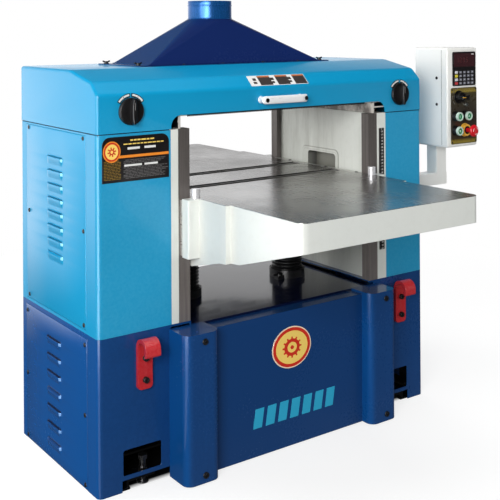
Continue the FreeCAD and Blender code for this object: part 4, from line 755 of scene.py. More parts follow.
# ------------------------------------------------------------------ louvred side panels
def louvre_panel(name, x0, sg, y0, y1, z0, z1, zs, ly0, ly1, mat, hole=None, rise=4.8, up=-2.5, dn=24.0):
    """sg=+1: panel faces -X at x0; pressed scoops open upwards with a crisp lip and run out below"""
    ys = sorted(set([y0, y0 + 3, y1 - 3, y1, ly0, ly1, ly0 - 1.2, ly1 + 1.2] + [ly0 + (ly1 - ly0) * (0.5 - 0.5 * math.cos(math.pi * i / 12)) for i in range(13)] + (list(hole[:2]) if hole else [])))
    zz = set([z0, z0 + 3, z1 - 3, z1] + (list(hole[2:]) if hole else []))
    prof = []
    for z in zs:
        for k in range(9):
            zz.add(round(z + up - (up + dn) * k / 8.0, 3))
        zz.add(round(z + up + 0.7, 3))
        zz.add(round(z + up + 3.5, 3))
        zz.add(round(z + up + 7.0, 3))
        zz.add(round(z + up + 8.2, 3))
        zz.add(round(z - dn - 1.2, 3))
    zz = sorted(zz)

    def disp(y, z):
        ey = min(y - ly0, ly1 - y)
        if ey <= 0:
            return 0.0
        fy = min(1.0, ey / 5.5)
        fy = math.sin(0.5 * math.pi * fy)
        for c in zs:
            if c - dn - 0.001 <= z <= c + up:
                t = (z - (c - dn)) / (up + dn)
                return rise * fy * math.sin(0.5 * math.pi * min(1, t * 1.0)) ** 1.3
            if c + up < z < c + up + 7.0:
                return -1.4 * fy * (c + up + 7.0 - z) / 7.0
        return 0.0
    p = P()
    idx = {}
    for i, y in enumerate(ys):
        for j, z in enumerate(zz):
            idx[i, j] = len(p.v)
            e = 0.0
            if y in (y0, y1) or z in (z0, z1):
                e = 1.1
            p.v.append(((x0 - sg * (disp(y, z) - e - 0.0)) * MM, y * MM, z * MM))
    for i in range(len(ys) - 1):
        for j in range(len(zz) - 1):
            if hole and hole[0] <= ys[i] < hole[1] and hole[2] <= zz[j] < hole[3]:
                continue
            p.f.append([idx[i, j], idx[i + 1, j], idx[i + 1, j + 1], idx[i, j + 1]])
            ym, zm = 0.5 * (ys[i] + ys[i + 1]), 0.5 * (zz[j] + zz[j + 1])
            # painted shade on the top lip of each scoop (material 2), painted highlight on its front end (material 3)
            mk = 0
            if ly0 < ym < ly1:
                for c in zs:
                    if c + up < zm < c + up + 3.5:
                        mk = 2
                    elif c - 0.45 * dn < zm < c + up and ym < ly0 + 6.5:
                        mk = 3
            p.mi.append(mk)
            p.sm.append(any(disp(ys[k], zz[m_]) for k in (i, i + 1) for m_ in (j, j + 1)))
    # painted shade: dark strips in the scoop openings, standing in for the shade inside the slots
    for c in zs:
        p.box(x0 + sg * 0.1, x0 + sg * 0.9, ly0 + 4, ly1 - 4, c + up + 0.5, c + up + 3.6, 0.0, mi=1)
    ob = p.make(name, [mat, "seam", mat + "_shade", mat + "_rub"], "frame", 38.0, fix=False)
    m = ob.modifiers.new("t", "SOLIDIFY")
    m.thickness = 0.0011
    m.offset = -1.0 if sg > 0 else 1.0
    return ob


ZU = [850 - 38.2 * i for i in range(8)]
ZL = [342 - 47.7 * i for i in range(7)]
a = louvre_panel("louvre_panel_upper_left", XL, 1, -185.5, 206.5, 416.5, 925.5, ZU, -45, 54, "cyan")
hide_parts("vent_panel_upper_left")
a = louvre_panel("louvre_panel_lower_left", XL, 1, -189.5, 214.5, 1.0, 395.5, ZL, -27, 62, "navy")
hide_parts("vent_panel_lower_left")
a = louvre_panel("louvre_panel_upper_right", XR, -1, -185.5, 206.5, 416.5, 925.5, ZU, -45, 54, "cyan", (-141.5, -90.5, 648.5, 693.5))
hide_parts("side_panels_right")
louvre_panel("louvre_panel_lower_right", XR, -1, -189.5, 214.5, 1.0, 395.5, ZL, -27, 62, "navy")
SC_UP = [(-174, 917), (-174, 674), (-174, 428), (187, 917), (187, 674), (187, 428)]
SC_LO = [(-178, 378), (-178, 194), (-178, 12), (203, 378), (203, 194), (203, 12)]
for sg, x0, nm in ((1, XL, "left"), (-1, XR, "right")):
    h = P()
    for y, z in SC_UP + SC_LO:
        h.lathe([(0, -sg * 3.3), (2.6, -sg * 3.25), (4.9, -sg * 2.5), (6.3, -sg * 0.9), (6.4, sg * 0.1)], (x0, y, z), "X", 18)
        an = random.uniform(0, 90)
        rot = Matrix.Translation((x0, y, z)) @ Matrix.Rotation(math.radians(an), 4, "X")
        h.box(-sg * 3.45, -sg * 2.9, -3.0, 3.0, -0.6, 0.6, 0, mi=1, mat=rot)
        h.box(-sg * 3.45, -sg * 2.9, -0.6, 0.6, -3.0, 3.0, 0, mi=1, mat=rot)
    h.make("panel_screw_heads_" + nm, ["black_steel", "black"], "frame")
h = P()
for x in (-340.0, 317.0):
    for z in (376.0, 24.0):
        h.lathe([(0, -4.6), (4.0, -4.4), (7.2, -3.2), (8.6, -0.8), (8.7, 0.1)], (x, YF - 89, z), "Y", 22)
        h.box(x - 4.4, x + 4.4, YF - 89 - 4.9, YF - 89 - 4.0, z - 0.8, z + 0.8, 0, mi=1).box(x - 0.8, x + 0.8, YF - 89 - 4.9, YF - 89 - 4.0, z - 4.4, z + 4.4, 0, mi=1)
h.make("front_cover_screw_heads", ["black_steel", "black"], "frame")

# ------------------------------------------------------------------ dust hood
HX0, HX1, HY0, HY1 = -345.0, 290.0, -59.0, 165.0
HC, DR, HZ0, HZ1, HZ2 = (-32.0, 98.0), 70.0, 1097.0, 1233.0, 1290.0
hd = P()
nq = 16
K = [(HX1, HY1), (HX0, HY1), (HX0, HY0), (HX1, HY0)]


def hood_ring(off):
    out = []
    for q in range(4):
        for i in range(nq + 1):
            a = math.radians(90.0 * q + 90.0 * i / nq)
            out.append((q, HC[0] + (DR - off) * math.cos(a), HC[1] + (DR - off) * math.sin(a)))
    return out


for off, flip in ((0.0, False), (3.0, True)):
    o = len(hd.v)
    rg = hood_ring(off)
    for lev in (0, 1):
        for q, cx, cy in rg:
            kx, ky = K[q]
            kx -= math.copysign(off, kx - HC[0])
            ky -= math.copysign(off, ky - HC[1])
            p = (cx, cy, HZ1) if lev else (kx, ky, HZ0)
            hd.v.append((p[0] * MM, p[1] * MM, p[2] * MM))
    n = len(rg)
    for i in range(n):
        j = (i + 1) % n
        a, b, c, d = o + i, o + j, o + n + j, o + n + i
        q0, q1 = rg[i][0], rg[j][0]
        face = [a, c, d] if q0 == q1 else [a, b, c]
        hd.f.append(face[::-1] if flip else face)
        hd.mi.append(0)
        hd.sm.append(True)
hd.prism(rrect(-381, 330, -68, 198, 8, 5), "XY", HZ0 - 3.0, HZ0 - 0.2, 0.0)
# stitched weld line where the hood meets its flange and the spigot's bead
for (xa, ya), (xb, yb) in (((HX0, HY0), (HX1, HY0)), ((HX1, HY0), (HX1, HY1)), ((HX1, HY1), (HX0, HY1)), ((HX0, HY1), (HX0, HY0))):
    hd.tube([(xa, ya, HZ0 + 0.6), ((xa + xb) / 2, (ya + yb) / 2, HZ0 + 0.9), (xb, yb, HZ0 + 0.6)], 1.5, 8)
hood = hd.make("dust_hood_transition", ["hood"], None, 24.0, fix=False)
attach(hood, "top_cover")
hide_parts("dust_hood")
sp = P()
sp.lathe([(DR - 2.2, 0.0), (DR + 1.0, -0.5), (DR + 1.4, 1.2), (DR + 0.2, 2.4), (DR, 3.5), (DR, 40.0), (DR + 1.1, 41.2), (DR + 1.1, 43.4), (DR, 44.6), (DR, HZ2 - HZ1 - 1.2),
          (DR - 0.6, HZ2 - HZ1), (DR - 1.8, HZ2 - HZ1), (DR - 2.2, HZ2 - HZ1 - 0.8), (DR - 2.2, 0.0)], (HC[0], HC[1], HZ1), "Z", 72)
sp.make("dust_spigot", ["spigot"], "top_cover")
ws = P()
for x in (-370.0, 308.0):
    for y in (-40.0, 160.0):
        ws.lathe([(0, 0), (8.4, 0), (8.6, 1.6), (6.0, 2.0), (5.2, 6.5), (3.2, 7.6), (0, 7.8)], (x, y, Z_TOP + 3), "Z", 20)
        for s in (-1, 1):
            ws.prism([(x + s * 3.5, Z_TOP + 5.5), (x + s * 12, Z_TOP + 8.5), (x + s * 12.6, Z_TOP + 12.2), (x + s * 10, Z_TOP + 13.0), (x + s * 3.2, Z_TOP + 10.0)], "XZ", y - 1.2, y + 1.2, 0.4)
for x in (-230, -90, 60, 200):
    for y in (-63.5, 182.0):
        ws.lathe([(0, 2.4), (2.2, 2.3), (4.2, 1.4), (4.8, 0.0)], (x, y, Z_TOP + 3), "Z", 16)
ws.make("hood_wing_screws", ["black_steel"], "top_cover")

# ------------------------------------------------------------------ handle and latches on the cover
hx, hz, hw = -16.0, 997.0, 83.0
hb = P()
out = []
for i in range(41):
    t = -1 + 2 * i / 40.0
    x = hx + hw * t
    bow = -34.0 + 12.0 * max(0.0, abs(t) - 0.72) / 0.28 * 0.55
    out.append((x, bow))
sec = [(math.cos(math.radians(a)), math.sin(math.radians(a))) for a in range(0, 360, 15)]
o = len(hb.v)
for k, (x, yb) in enumerate(out):
    t = -1 + 2 * k / 40.0
    end = math.sqrt(max(0.0, 1 - max(0.0, (abs(t) - 0.90) / 0.10) ** 2))
    hh = 11.5 * max(0.30, end)
    th = 5.6 * max(0.30, end)
    for c, s in sec:
        ce = math.copysign(abs(c) ** 0.55, c)
        se = math.copysign(abs(s) ** 0.75, s)
        hb.v.append((x * MM, (YF + yb + 6.5 + th * ce) * MM, (hz + hh * se) * MM))
ns = len(sec)
for k in range(len(out) - 1):
    for i in range(ns):
        j = (i + 1) % ns
        hb.f.append([o + k * ns + i, o + k * ns + j, o + (k + 1) * ns + j, o + (k + 1) * ns + i])
        hb.mi.append(0)
        hb.sm.append(True)
hb.f.append([o + i for i in range(ns)][::-1])
hb.f.append([o + (len(out) - 1) * ns + i for i in range(ns)])
hb.mi += [0, 0]
hb.sm += [True, True]
for s in (-1, 1):
    x = hx + s * (hw - 12)
    hb.lathe([(9.4, -24.0), (9.4, -1.0), (10.6, -0.2), (10.6, 0.0), (0, 0.0)], (x, YF, hz), "Y", 28)
    hb.lathe([(0, -33.6), (3.6, -33.7), (5.8, -33.3), (6.2, -32.4)], (x, YF, hz), "Y", 20, mi=1)
hbo = hb.make("handle_bar", ["satin", "black"], "top_cover", 40.0)
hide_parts("cover_handle")
LATCH = ((-514.0, 988.5, "latch_knob_left"), (463.0, 987.5, "latch_knob_right"))
for x, z, nm in ((-510.0, 988.0, "latch_knob_left"), (466.0, 988.0, "latch_knob_right")):
    k = P()
    k.lathe([(0, -10.5), (20, -10.6), (31, -9.8), (34.6, -8.0), (36.0, -5.0), (36.0, -0.4), (8, -0.3)], (x, YF, z), "Y", 64)
    k.lathe([(33.2, -9.2), (33.6, -9.9), (34.4, -9.4)], (x, YF, z), "Y", 64)
    # waisted finger bar
    pts = []
    for i in range(25):
        t = math.pi * i / 24
        pts.append((x + 8.2 * math.sin(t) * (1 - 0.25 * math.sin(t)) + 0.0, z - 33 * math.cos(t)))
    for i in range(1, 24):
        t = math.pi * (24 - i) / 24
        pts.append((x - 8.2 * math.sin(t) * (1 - 0.25 * math.sin(t)), z - 33 * math.cos(t)))
    k.prism(pts, "XZ", YF - 26.5, YF - 9.0, 2.0, 3)
    k.box(x - 0.8, x + 0.8, YF - 27.0, YF - 26.2, z + 4, z + 24, 0.2, 2, mi=1)
    ko = k.make(nm + "_grip", ["black", "label_grey"], nm, 35.0)
    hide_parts(nm)
mk = P()
for x, z, nm in LATCH:
    xx = -510.0 if x < 0 else 466.0
    for a0, a1 in ((36, 84), (96, 144)):
        mk.ring(47.0, 37.0, YF - 0.9, YF - 0.1, xx, z, 20, 0, a0 - 3, a1 + 3)
        mk.ring(45.0, 40.0, YF - 1.2, YF - 0.9, xx, z, 16, 1, a0, a1)
    for a in (60, 120):
        c, s = math.cos(math.radians(a)), math.sin(math.radians(a))
        mk.box(xx + 42.5 * c - 0.7, xx + 42.5 * c + 0.7, YF - 1.4, YF - 1.15, z + 42.5 * s - 1.6, z + 42.5 * s + 1.6, 0, mi=0)
mk.make("latch_dial_marks", ["label_black", "label_white"], "top_cover", 30.0)

# ------------------------------------------------------------------ generic notices and badges (plain panels, no lettering)
# facet strip
fz0, fz1 = 1037.5, 1065.5
d = Vector((0, Y_F2 - YF, Z_F2 - Z_F3)).normalized()
nrm = Vector((0, -d.z, d.y))


def facet_box(p, x0, x1, u0, u1, t0, t1, mi):
    base = Vector((0, YF, Z_F3))
    m = Matrix(((1, 0, 0, 0), (0, d.y, nrm.y, base.y), (0, d.z, nrm.z, base.z), (0, 0, 0, 1)))
    # local axes: X, along the facet, out of the facet
    p.box(x0, x1, u0, u1, t0, t1, 0.0, mi=mi, mat=m)


fs = P()
facet_box(fs, -117, 92, 4.0, 44.0, -0.2, 0.5, 0)
for i in range(3):
    xa = -82 + 64 * i
    facet_box(fs, xa, xa + 44, 5.5, 42.5, 0.4, 0.75, 1)
    facet_box(fs, xa + 1, xa + 43, 36.5, 42.0, 0.7, 0.95, 2)
    for k in range(5):
        facet_box(fs, xa + 4, xa + 4 + (36 if k % 2 else 30), 10 + 5 * k, 11.6 + 5 * k, 0.7, 0.9, 3)
    xc = xa - 16
    facet_box(fs, xc - 6, xc + 6, 12, 20, 0.45, 0.7, 3)
    facet_box(fs, xc - 4, xc + 8, 24, 34, 0.45, 0.7, 3)
fs.make("facet_notice_strip", ["label_white", "label_dim", "label_rust", "label_dim"], "top_cover", 30.0)

# data plate on the left column
lp = P()
LX0, LX1, LZ0, LZ1 = -594.0, -395.0, 806.0, 924.0
lp.prism(rrect(LX0, LX1, LZ0, LZ1, 22, 8, (0, 0, 1, 1)), "XZ", YF - 0.7, YF - 0.05, 0.2, 1, 0)
lp.prism([(LX0 + 44, 868), (LX1 - 1, 868), (LX1 - 1, 875), (LX0 + 48, 875)], "XZ", YF - 0.95, YF - 0.6, 0.0, 1, 2)
ec = (-566.0, 886.0)
lp.ring(25.5, 22.5, YF - 1.1, YF - 0.6, ec[0], ec[1], 40, 2, 0, 360, 1.08)
lp.ring(22.0, 18.5, YF - 1.2, YF - 0.6, ec[0], ec[1], 40, 4, 0, 360, 1.08)
lp.ring(18.5, 0.2, YF - 1.1, YF - 0.6, ec[0], ec[1], 40, 3, 0, 360, 1.08)
for i in range(8):
    an = math.radians(45 * i + 12)
    c0 = Matrix.Translation((ec[0], YF - 1.25, ec[1])) @ Matrix.Rotation(-an, 4, "Y")
    lp.box(6.5, 12.5, -0.15, 0.15, -1.7, 1.7, 0, mi=4, mat=c0)
lp.ring(7.2, 4.0, YF - 1.4, YF - 1.1, ec[0], ec[1], 24, 4)
for x0, x1, z0, z1 in ((-512, -440, 911, 915), (-532, -412, 902, 905)):
    x = x0
    while x < x1:
        w = random.uniform(7, 15)
        lp.box(x, min(x + w, x1), YF - 0.95, YF - 0.65, z0, z1, 0, mi=3)
        x += w + 2.4
for x0, x1 in ((-520, -484), (-470, -436)):
    lp.box(x0, x1, YF - 0.95, YF - 0.65, 889, 895, 0, mi=1)
for k in range(13):
    z = 861.0 - 3.9 * k
    # narrow column of yellow rules, wide column of broken white rules
    x = LX0 + 5.0
    while x < LX0 + 50:
        w = random.uniform(5, 13)
        lp.box(x, min(x + w, LX0 + 54), YF - 0.95, YF - 0.65, z, z + 1.3, 0, mi=6)
        x += w + 1.8
    if 3 <= k <= 4:
        continue
    x = LX0 + 62.0 + (0 if k % 3 else 6)
    end = LX1 - random.uniform(6, 30)
    while x < end:
        w = random.uniform(5, 16)
        lp.box(x, min(x + w, end + 3), YF - 0.95, YF - 0.65, z, z + 1.4, 0, mi=5)
        x += w + 2.0
for xa, xb in ((-530, -478), (-470, -430)):
    lp.box(xa, xb, YF - 0.98, YF - 0.65, 845.2, 850.4, 0, mi=1)
lp.make("data_plate", ["label_black", "label_white", "label_orange", "badge_yellow", "badge_red", "label_grey", "label_ochre"], "frame", 30.0)

# oval badge with a plain toothed wheel
bd = P()
bc, by = (-17.5, 285.0), YF - 47.0


def oval(p, a, b, y0, y1, mi, n=72, r=0.0):
    p.prism([(bc[0] + a * math.cos(2 * math.pi * i / n), bc[1] + b * math.sin(2 * math.pi * i / n)) for i in range(n)], "XZ", y0, y1, r, 1, mi)


oval(bd, 71.0, 59.5, by - 1.2, by - 0.02, 0, r=0.35)
oval(bd, 67.5, 56.2, by - 1.6, by - 1.1, 1, r=0.2)
oval(bd, 57.5, 47.0, by - 2.0, by - 1.5, 2, r=0.2)
gear = []
for i in range(12):
    for rr, dd in ((25, -9.5), (25, -6.0), (31, -4.0), (31, 4.0), (25, 6.0)):
        an = math.radians(30 * i + dd)
        gear.append((bc[0] + rr * 1.12 * math.cos(an), bc[1] + rr * 0.98 * math.sin(an)))
bd.prism(gear, "XZ", by - 2.4, by - 1.9, 0.0, 1, 1)
bd.prism([(bc[0] + 17 * math.cos(2 * math.pi * i / 40), bc[1] + 15 * math.sin(2 * math.pi * i / 40)) for i in range(40)], "XZ", by - 2.7, by - 2.3, 0.0, 1, 2)
bd.prism([(bc[0] + 7 * math.cos(2 * math.pi * i / 6), bc[1] + 6.2 * math.sin(2 * math.pi * i / 6)) for i in range(6)], "XZ", by - 3.0, by - 2.6, 0.0, 1, 1)
bd.make("front_badge", ["badge_cream", "badge_red", "badge_yellow"], "frame", 30.0)
# accent bars
ab = P()
nb = 7
for i in range(nb):
    x0 = -156 + i * 305.0 / nb
    w = 305.0 / nb - 13.0
    ab.prism([(x0, 82), (x0 + w, 82), (x0 + w + 9, 136), (x0 + 9, 136)], "XZ", by - 0.7, by - 0.03, 0.2, 1, 0)
ab.make("front_accent_bars", ["accent"], "frame", 30.0)

# ------------------------------------------------------------------ height scale: ticks and figures
hs = P()
for i in range(0, 76):
    z = 503 + 5.0 * i
    w = 4.6 if i % 2 == 0 else 2.6
    hs.box(376.4, 376.4 + w, YF - 2.35, YF - 1.95, z - 0.4, z + 0.4, 0, mi=2)
SEG = {"0": "abcdef", "1": "bc", "2": "abged", "3": "abgcd", "4": "fgbc", "5": "afgcd", "6": "afgedc", "7": "abc", "8": "abcdefg", "9": "abcdfg"}


def digit(p, ch, x, z, w, h, y, t=0.7, mi=0):
    s = {"a": (x, x + w, z + h - t, z + h), "g": (x, x + w, z + h / 2 - t / 2, z + h / 2 + t / 2), "d": (x, x + w, z, z + t),
         "f": (x, x + t, z + h / 2, z + h), "e": (x, x + t, z, z + h / 2), "b": (x + w - t, x + w, z + h / 2, z + h), "c": (x + w - t, x + w, z, z + h / 2)}
    for k in SEG[ch]:
        a = s[k]
        p.box(a[0], a[1], y - 0.35, y + 0.05, a[2], a[3], 0, mi=mi)


for i in range(0, 38):
    z = 503 + 10.0 * i
    for k, ch in enumerate("%02d" % (i + 1)):
        digit(hs, ch, 384.0 + 3.6 * k, z - 2.4, 2.9, 4.8, YF - 2.0, 0.9)
for z in (503, 881):
    hs.lathe([(0, -1.2), (1.8, -1.0), (2.4, 0.1)], (385, YF - 2.0, z), "Y", 12, mi=1)
hs.make("scale_graduations", ["label_white", "zinc", "label_grey"], "frame", 30.0)

# ------------------------------------------------------------------ control box
x0, x1, y0, y1, z0, z1 = BOX
cb = P().box(x0, x1, y0, y1, z0, z1, 7.0, 5)
# folded front rim
cb.prism(rrect(x0 + 7, x1 - 7, z0 + 7, z1 - 7, 5, 4), "XZ", y0 - 0.2, y0 + 1.0, 0.4, 2)
cbo = cb.make("control_box_shell", ["ivory_sheet"], "frame", 40.0)
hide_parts("control_box")
dd = P()
for z in (1027.6, 937.4):
    dd.lathe([(0, -2.0), (1.6, -2.1), (4.4, -1.6), (5.2, -0.4), (5.3, 0.2)], (x0, -187, z), "X", 20, mi=0)
    dd.box(x0 - 2.4, x0 - 1.8, -190, -184, z - 0.6, z + 0.6, 0, mi=1).box(x0 - 2.4, x0 - 1.8, -187.6, -186.4, z - 3, z + 3, 0, mi=1)
    dd.lathe([(0, 2.0), (1.6, 2.1), (4.4, 1.6), (5.2, 0.4), (5.3, -0.2)], (x1, -187, z), "X", 20, mi=0)
for z in (z0 + 14, z1 - 14):
    for x in (x0 + 14, x1 - 14):
        dd.lathe([(0, 2.4), (2.6, 2.3), (4.6, 1.4), (5.2, -0.2)], (x, y1, z), "Y", 18, mi=0)
for zz in range(6):
    dd.box(x0 + 40, x1 - 40, y1 - 0.4, y1 + 0.5, z1 - 60 - 12 * zz, z1 - 56 - 12 * zz, 0.2, 2, mi=1)
dd.make("control_box_screws", ["black_steel", "black"], "frame", 35.0)
# box seam between its front tray and rear lid
sm = P()
t = 0.35
ya, yb = y0 + 26.0, y0 + 27.6
sm.box(x0 - t, x0 + 1, ya, yb, z0 + 8, z1 - 8, 0.2, 2).box(x1 - 1, x1 + t, ya, yb, z0 + 8, z1 - 8, 0.2, 2).box(x0 + 8, x1 - 8, ya, yb, z1 - 1, z1 + t, 0.2, 2).box(x0 + 8, x1 - 8, ya, yb, z0 - t, z0 + 1, 0.2, 2)
sm.make("control_box_lid_seam", ["label_grey"], "frame")
# readout with keypad
rp = P()
rp.prism(rrect(733, 848, 1000.5, 1117, 6, 5), "XZ", BY - 2.8, BY + 0.4, 0.8, 2, 0)
rp.prism(rrect(738, 843, 1066, 1112, 3, 4), "XZ", BY - 3.1, BY - 2.6, 0.1, 1, 1)
rp.prism(rrect(741, 840, 1002.5, 1060, 3, 4), "XZ", BY - 3.0, BY - 2.6, 0.1, 1, 0)
for k, (mi, zz) in enumerate(((2, 1047), (3, 1034.5), (2, 1022), (4, 1009.5))):
    rp.prism(rrect(743, 757, zz - 4.6, zz + 4.6, 2.0, 4), "XZ", BY - 4.2, BY - 2.8, 0.5, 2, mi)
for r in range(4):
    for c in range(4):
        cx, cz = 771 + 19.5 * c, 1047 - 12.5 * r
        rp.prism(rrect(cx - 6.2, cx + 6.2, cz - 4.2, cz + 4.2, 1.8, 4), "XZ", BY - 4.0, BY - 2.8, 0.5, 2, 5)
        rp.box(cx - 1.3, cx + 1.3, BY - 4.15, BY - 3.9, cz - 1.3, cz + 1.3, 0, mi=2)
for i, (ch, x) in enumerate((("1", 752), ("2", 768), ("0", 784), ("5", 800))):
    digit(rp, ch, x, 1081, 8, 16, BY - 3.1, 1.3, 8)
rp.box(826, 838, BY - 3.3, BY - 3.0, 1107, 1110, 0, mi=7)
rpo = rp.make("readout_keypad", ["label_black", "display", "white_key", "yellow_key", "red_key", "grey_key", "red_key", "label_white", "dim_segment"], "frame", 35.0)
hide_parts("readout_panel")
# switch plate film, bezels
PX, PZ = (745.0, 791.0), (898.0, 849.0)
sp = P()
sp.prism(rrect(724.5, 853.5, 802.5, 994.5, 6, 5), "XZ", BY - 2.2, BY + 0.3, 0.5, 2, 0)
for x, z in ((730, 988), (848, 988), (730, 809), (848, 809)):
    sp.lathe([(0, -1.6), (2.2, -1.5), (3.4, -0.2)], (x, BY - 2.2, z), "Y", 14, mi=1)
for i, x in enumerate(PX):
    for j, z in enumerate(PZ):
        if i == 1 and j == 1:
            sp.lathe([(13.5, -12.2), (19.2, -12.4), (20.4, -11.0), (20.4, -3.0), (22.6, -2.2), (22.8, 0)], (x, BY - 2.0, z), "Y", 48, mi=3)
            sp.lathe([(8.2, -13.0), (13.6, -13.0), (13.6, -12.0)], (x, BY - 2.0, z), "Y", 40, mi=1)
        else:
            sp.lathe([(10.1, -20.0), (10.4, -24.0), (12.6, -24.6), (14.6, -23.6), (15.2, -21.4), (15.0, -16.0), (13.4, -14.5)], (x, BY - 2.0, z), "Y", 44, mi=2)
            sp.lathe([(13.4, -15.0), (14.6, -13.0), (15.6, -3.0), (17.0, -2.0), (17.2, 0)], (x, BY - 2.0, z), "Y", 44, mi=1)
sp.lathe([(0, -6.4), (13.0, -6.4), (14.6, -5.2), (15.0, -2.0), (22.0, -1.6), (22.6, 0)], (762, BY - 2.0, 963), "Y", 44, mi=1)
# key lock below the rotary switch, generic marks
sp.lathe([(0, -7), (5.6, -7.2), (6.6, -6.2), (6.8, 0)], (797, BY - 2.0, 936), "Y", 24, mi=4)
sp.box(796.3, 797.7, BY - 9.6, BY - 9.1, 932.5, 939.5, 0, mi=1)
for a0, a1 in ((100, 126), (136, 160), (170, 196), (206, 232)):
    sp.ring(31.5, 29.8, BY - 2.7, BY - 2.2, 762, 963, 10, 5, a0, a1)
spo = sp.make("switch_plate_film_and_bezels", ["switch_film", "black", "pale_plastic", "yellow_plastic", "zinc", "label_grey"], "frame", 35.0)
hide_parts("switch_plate")
for nm, x, z in (("start_button", PX[0], PZ[0]), ("table_up_button", PX[1], PZ[0]), ("table_down_button", PX[0], PZ[1])):
    b = P()
    b.lathe([(0, -23.0), (5.5, -23.1), (8.8, -23.9), (9.6, -23.4), (9.9, -21.5), (9.9, 4.0), (5.0, 5.0), (5.0, 13.0), (0, 13.0)], (x, BY, z), "Y", 40, mi=0)
    if nm == "start_button":
        b.box(x - 0.8, x + 0.8, BY - 24.0, BY - 23.0, z - 5, z + 5, 0.2, 2, mi=1)
    else:
        s = 1 if nm == "table_up_button" else -1
        b.prism([(x - 4.5, z - 3.2 * s), (x + 4.5, z - 3.2 * s), (x, z + 4.6 * s)], "XZ", BY - 23.9, BY - 22.9, 0.0, 1, 1)
    bo = b.make(nm + "_cap", ["green_plastic", "pale_plastic"], nm, 35.0)
    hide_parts(nm)
b = P()
b.lathe([(0, -52.0), (6, -51.9), (12, -51.0), (17, -48.8), (19.6, -45.6), (20.0, -42.4), (18.6, -39.2), (14.0, -38.0), (10.0, -37.0), (8.0, -34.0), (8.0, 7.5), (0, 7.5)], (PX[1], BY, PZ[1]), "Y", 56, mi=0)
for i in range(3):
    b.ring(12.2, 10.4, BY - 51.9, BY - 51.0, PX[1], PZ[1], 10, 1, 120 * i + 10, 120 * i + 70)
for i in range(18):
    an = math.radians(20 * i)
    b.box(PX[1] + 19.6 * math.cos(an) - 0.8, PX[1] + 19.6 * math.cos(an) + 0.8, BY - 45.5, BY - 40.5, PZ[1] + 19.6 * math.sin(an) - 0.8, PZ[1] + 19.6 * math.sin(an) + 0.8, 0.3, 2, mi=0)
bo = b.make("emergency_stop_mushroom", ["red_plastic", "label_white"], "emergency_stop_button", 35.0)
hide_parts("emergency_stop_button")
# rotary isolator: round skirt and wing grip pointing at nine o'clock
b = P()
b.lathe([(0, -22.0), (13.5, -22.2), (16.6, -20.4), (17.0, -17.0), (17.0, -9.6), (15.4, -8.3), (6.0, -8.2), (6.0, 13.5), (0, 13.5)], (762, BY, 963), "Y", 48, mi=0)
pts = []
for i in range(31):
    t = i / 30.0
    xx = 745 + 34 * t
    w = 5.0 + 3.4 * (abs(t - 0.5) * 2) ** 2 * (1 if t > 0.5 else 0.15)
    pts.append((xx, 963 + w))
low = [(p, 2 * 963 - q) for p, q in pts][::-1]
b.prism(pts + low, "XZ", BY - 37.5, BY - 20.5, 1.8, 3, 0)
b.box(745.6, 760.0, BY - 38.0, BY - 37.0, 961.9, 964.1, 0.2, 2, mi=1)
b.box(745.0, 746.0, BY - 37.5, BY - 24.0, 961.9, 964.1, 0.2, 2, mi=1)
bo = b.make("rotary_switch_grip", ["black", "yellow_plastic"], "rotary_switch", 35.0)
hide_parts("rotary_switch")
# ------------------------------------------------------------------ pleated bellows round the lift screws
bl = P()
nf = 13
h = (TAB_BOT - COL_Z) / nf
for sx in (-1, 1):
    prof = [(44.0, 0.0)]
    for i in range(nf):
        a = i * h
        prof += [(42.5, a + 0.12 * h), (43.5, a + 0.25 * h), (49.0, a + 0.44 * h), (50.2, a + 0.5 * h), (49.0, a + 0.56 * h), (43.5, a + 0.75 * h), (42.5, a + 0.88 * h)]
    prof.append((44.0, TAB_BOT - COL_Z))
    prof += [(40.5, TAB_BOT - COL_Z), (40.5, 0.0), (44.0, 0.0)]
    bl.lathe(prof, (sx * SCR_X, 0, COL_Z), "Z", 56, 0)
blo = bl.make("pleated_bellows", ["rubber"], None, 50.0)
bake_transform(blo)
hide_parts("screw_bellows")
cl = P()
for sx in (-1, 1):
    # clamp band round the foot of the bellows
    cl.lathe([(50.9, 0.4), (52.0, 0.6), (52.3, 3.6), (51.0, 4.2), (45.0, 4.4), (45.0, 0.2), (50.9, 0.4)], (sx * SCR_X, 0, COL_Z), "Z", 56, mi=1)
cl.make("bellows_clamps", ["zinc", "black_steel"], "frame", 35.0)


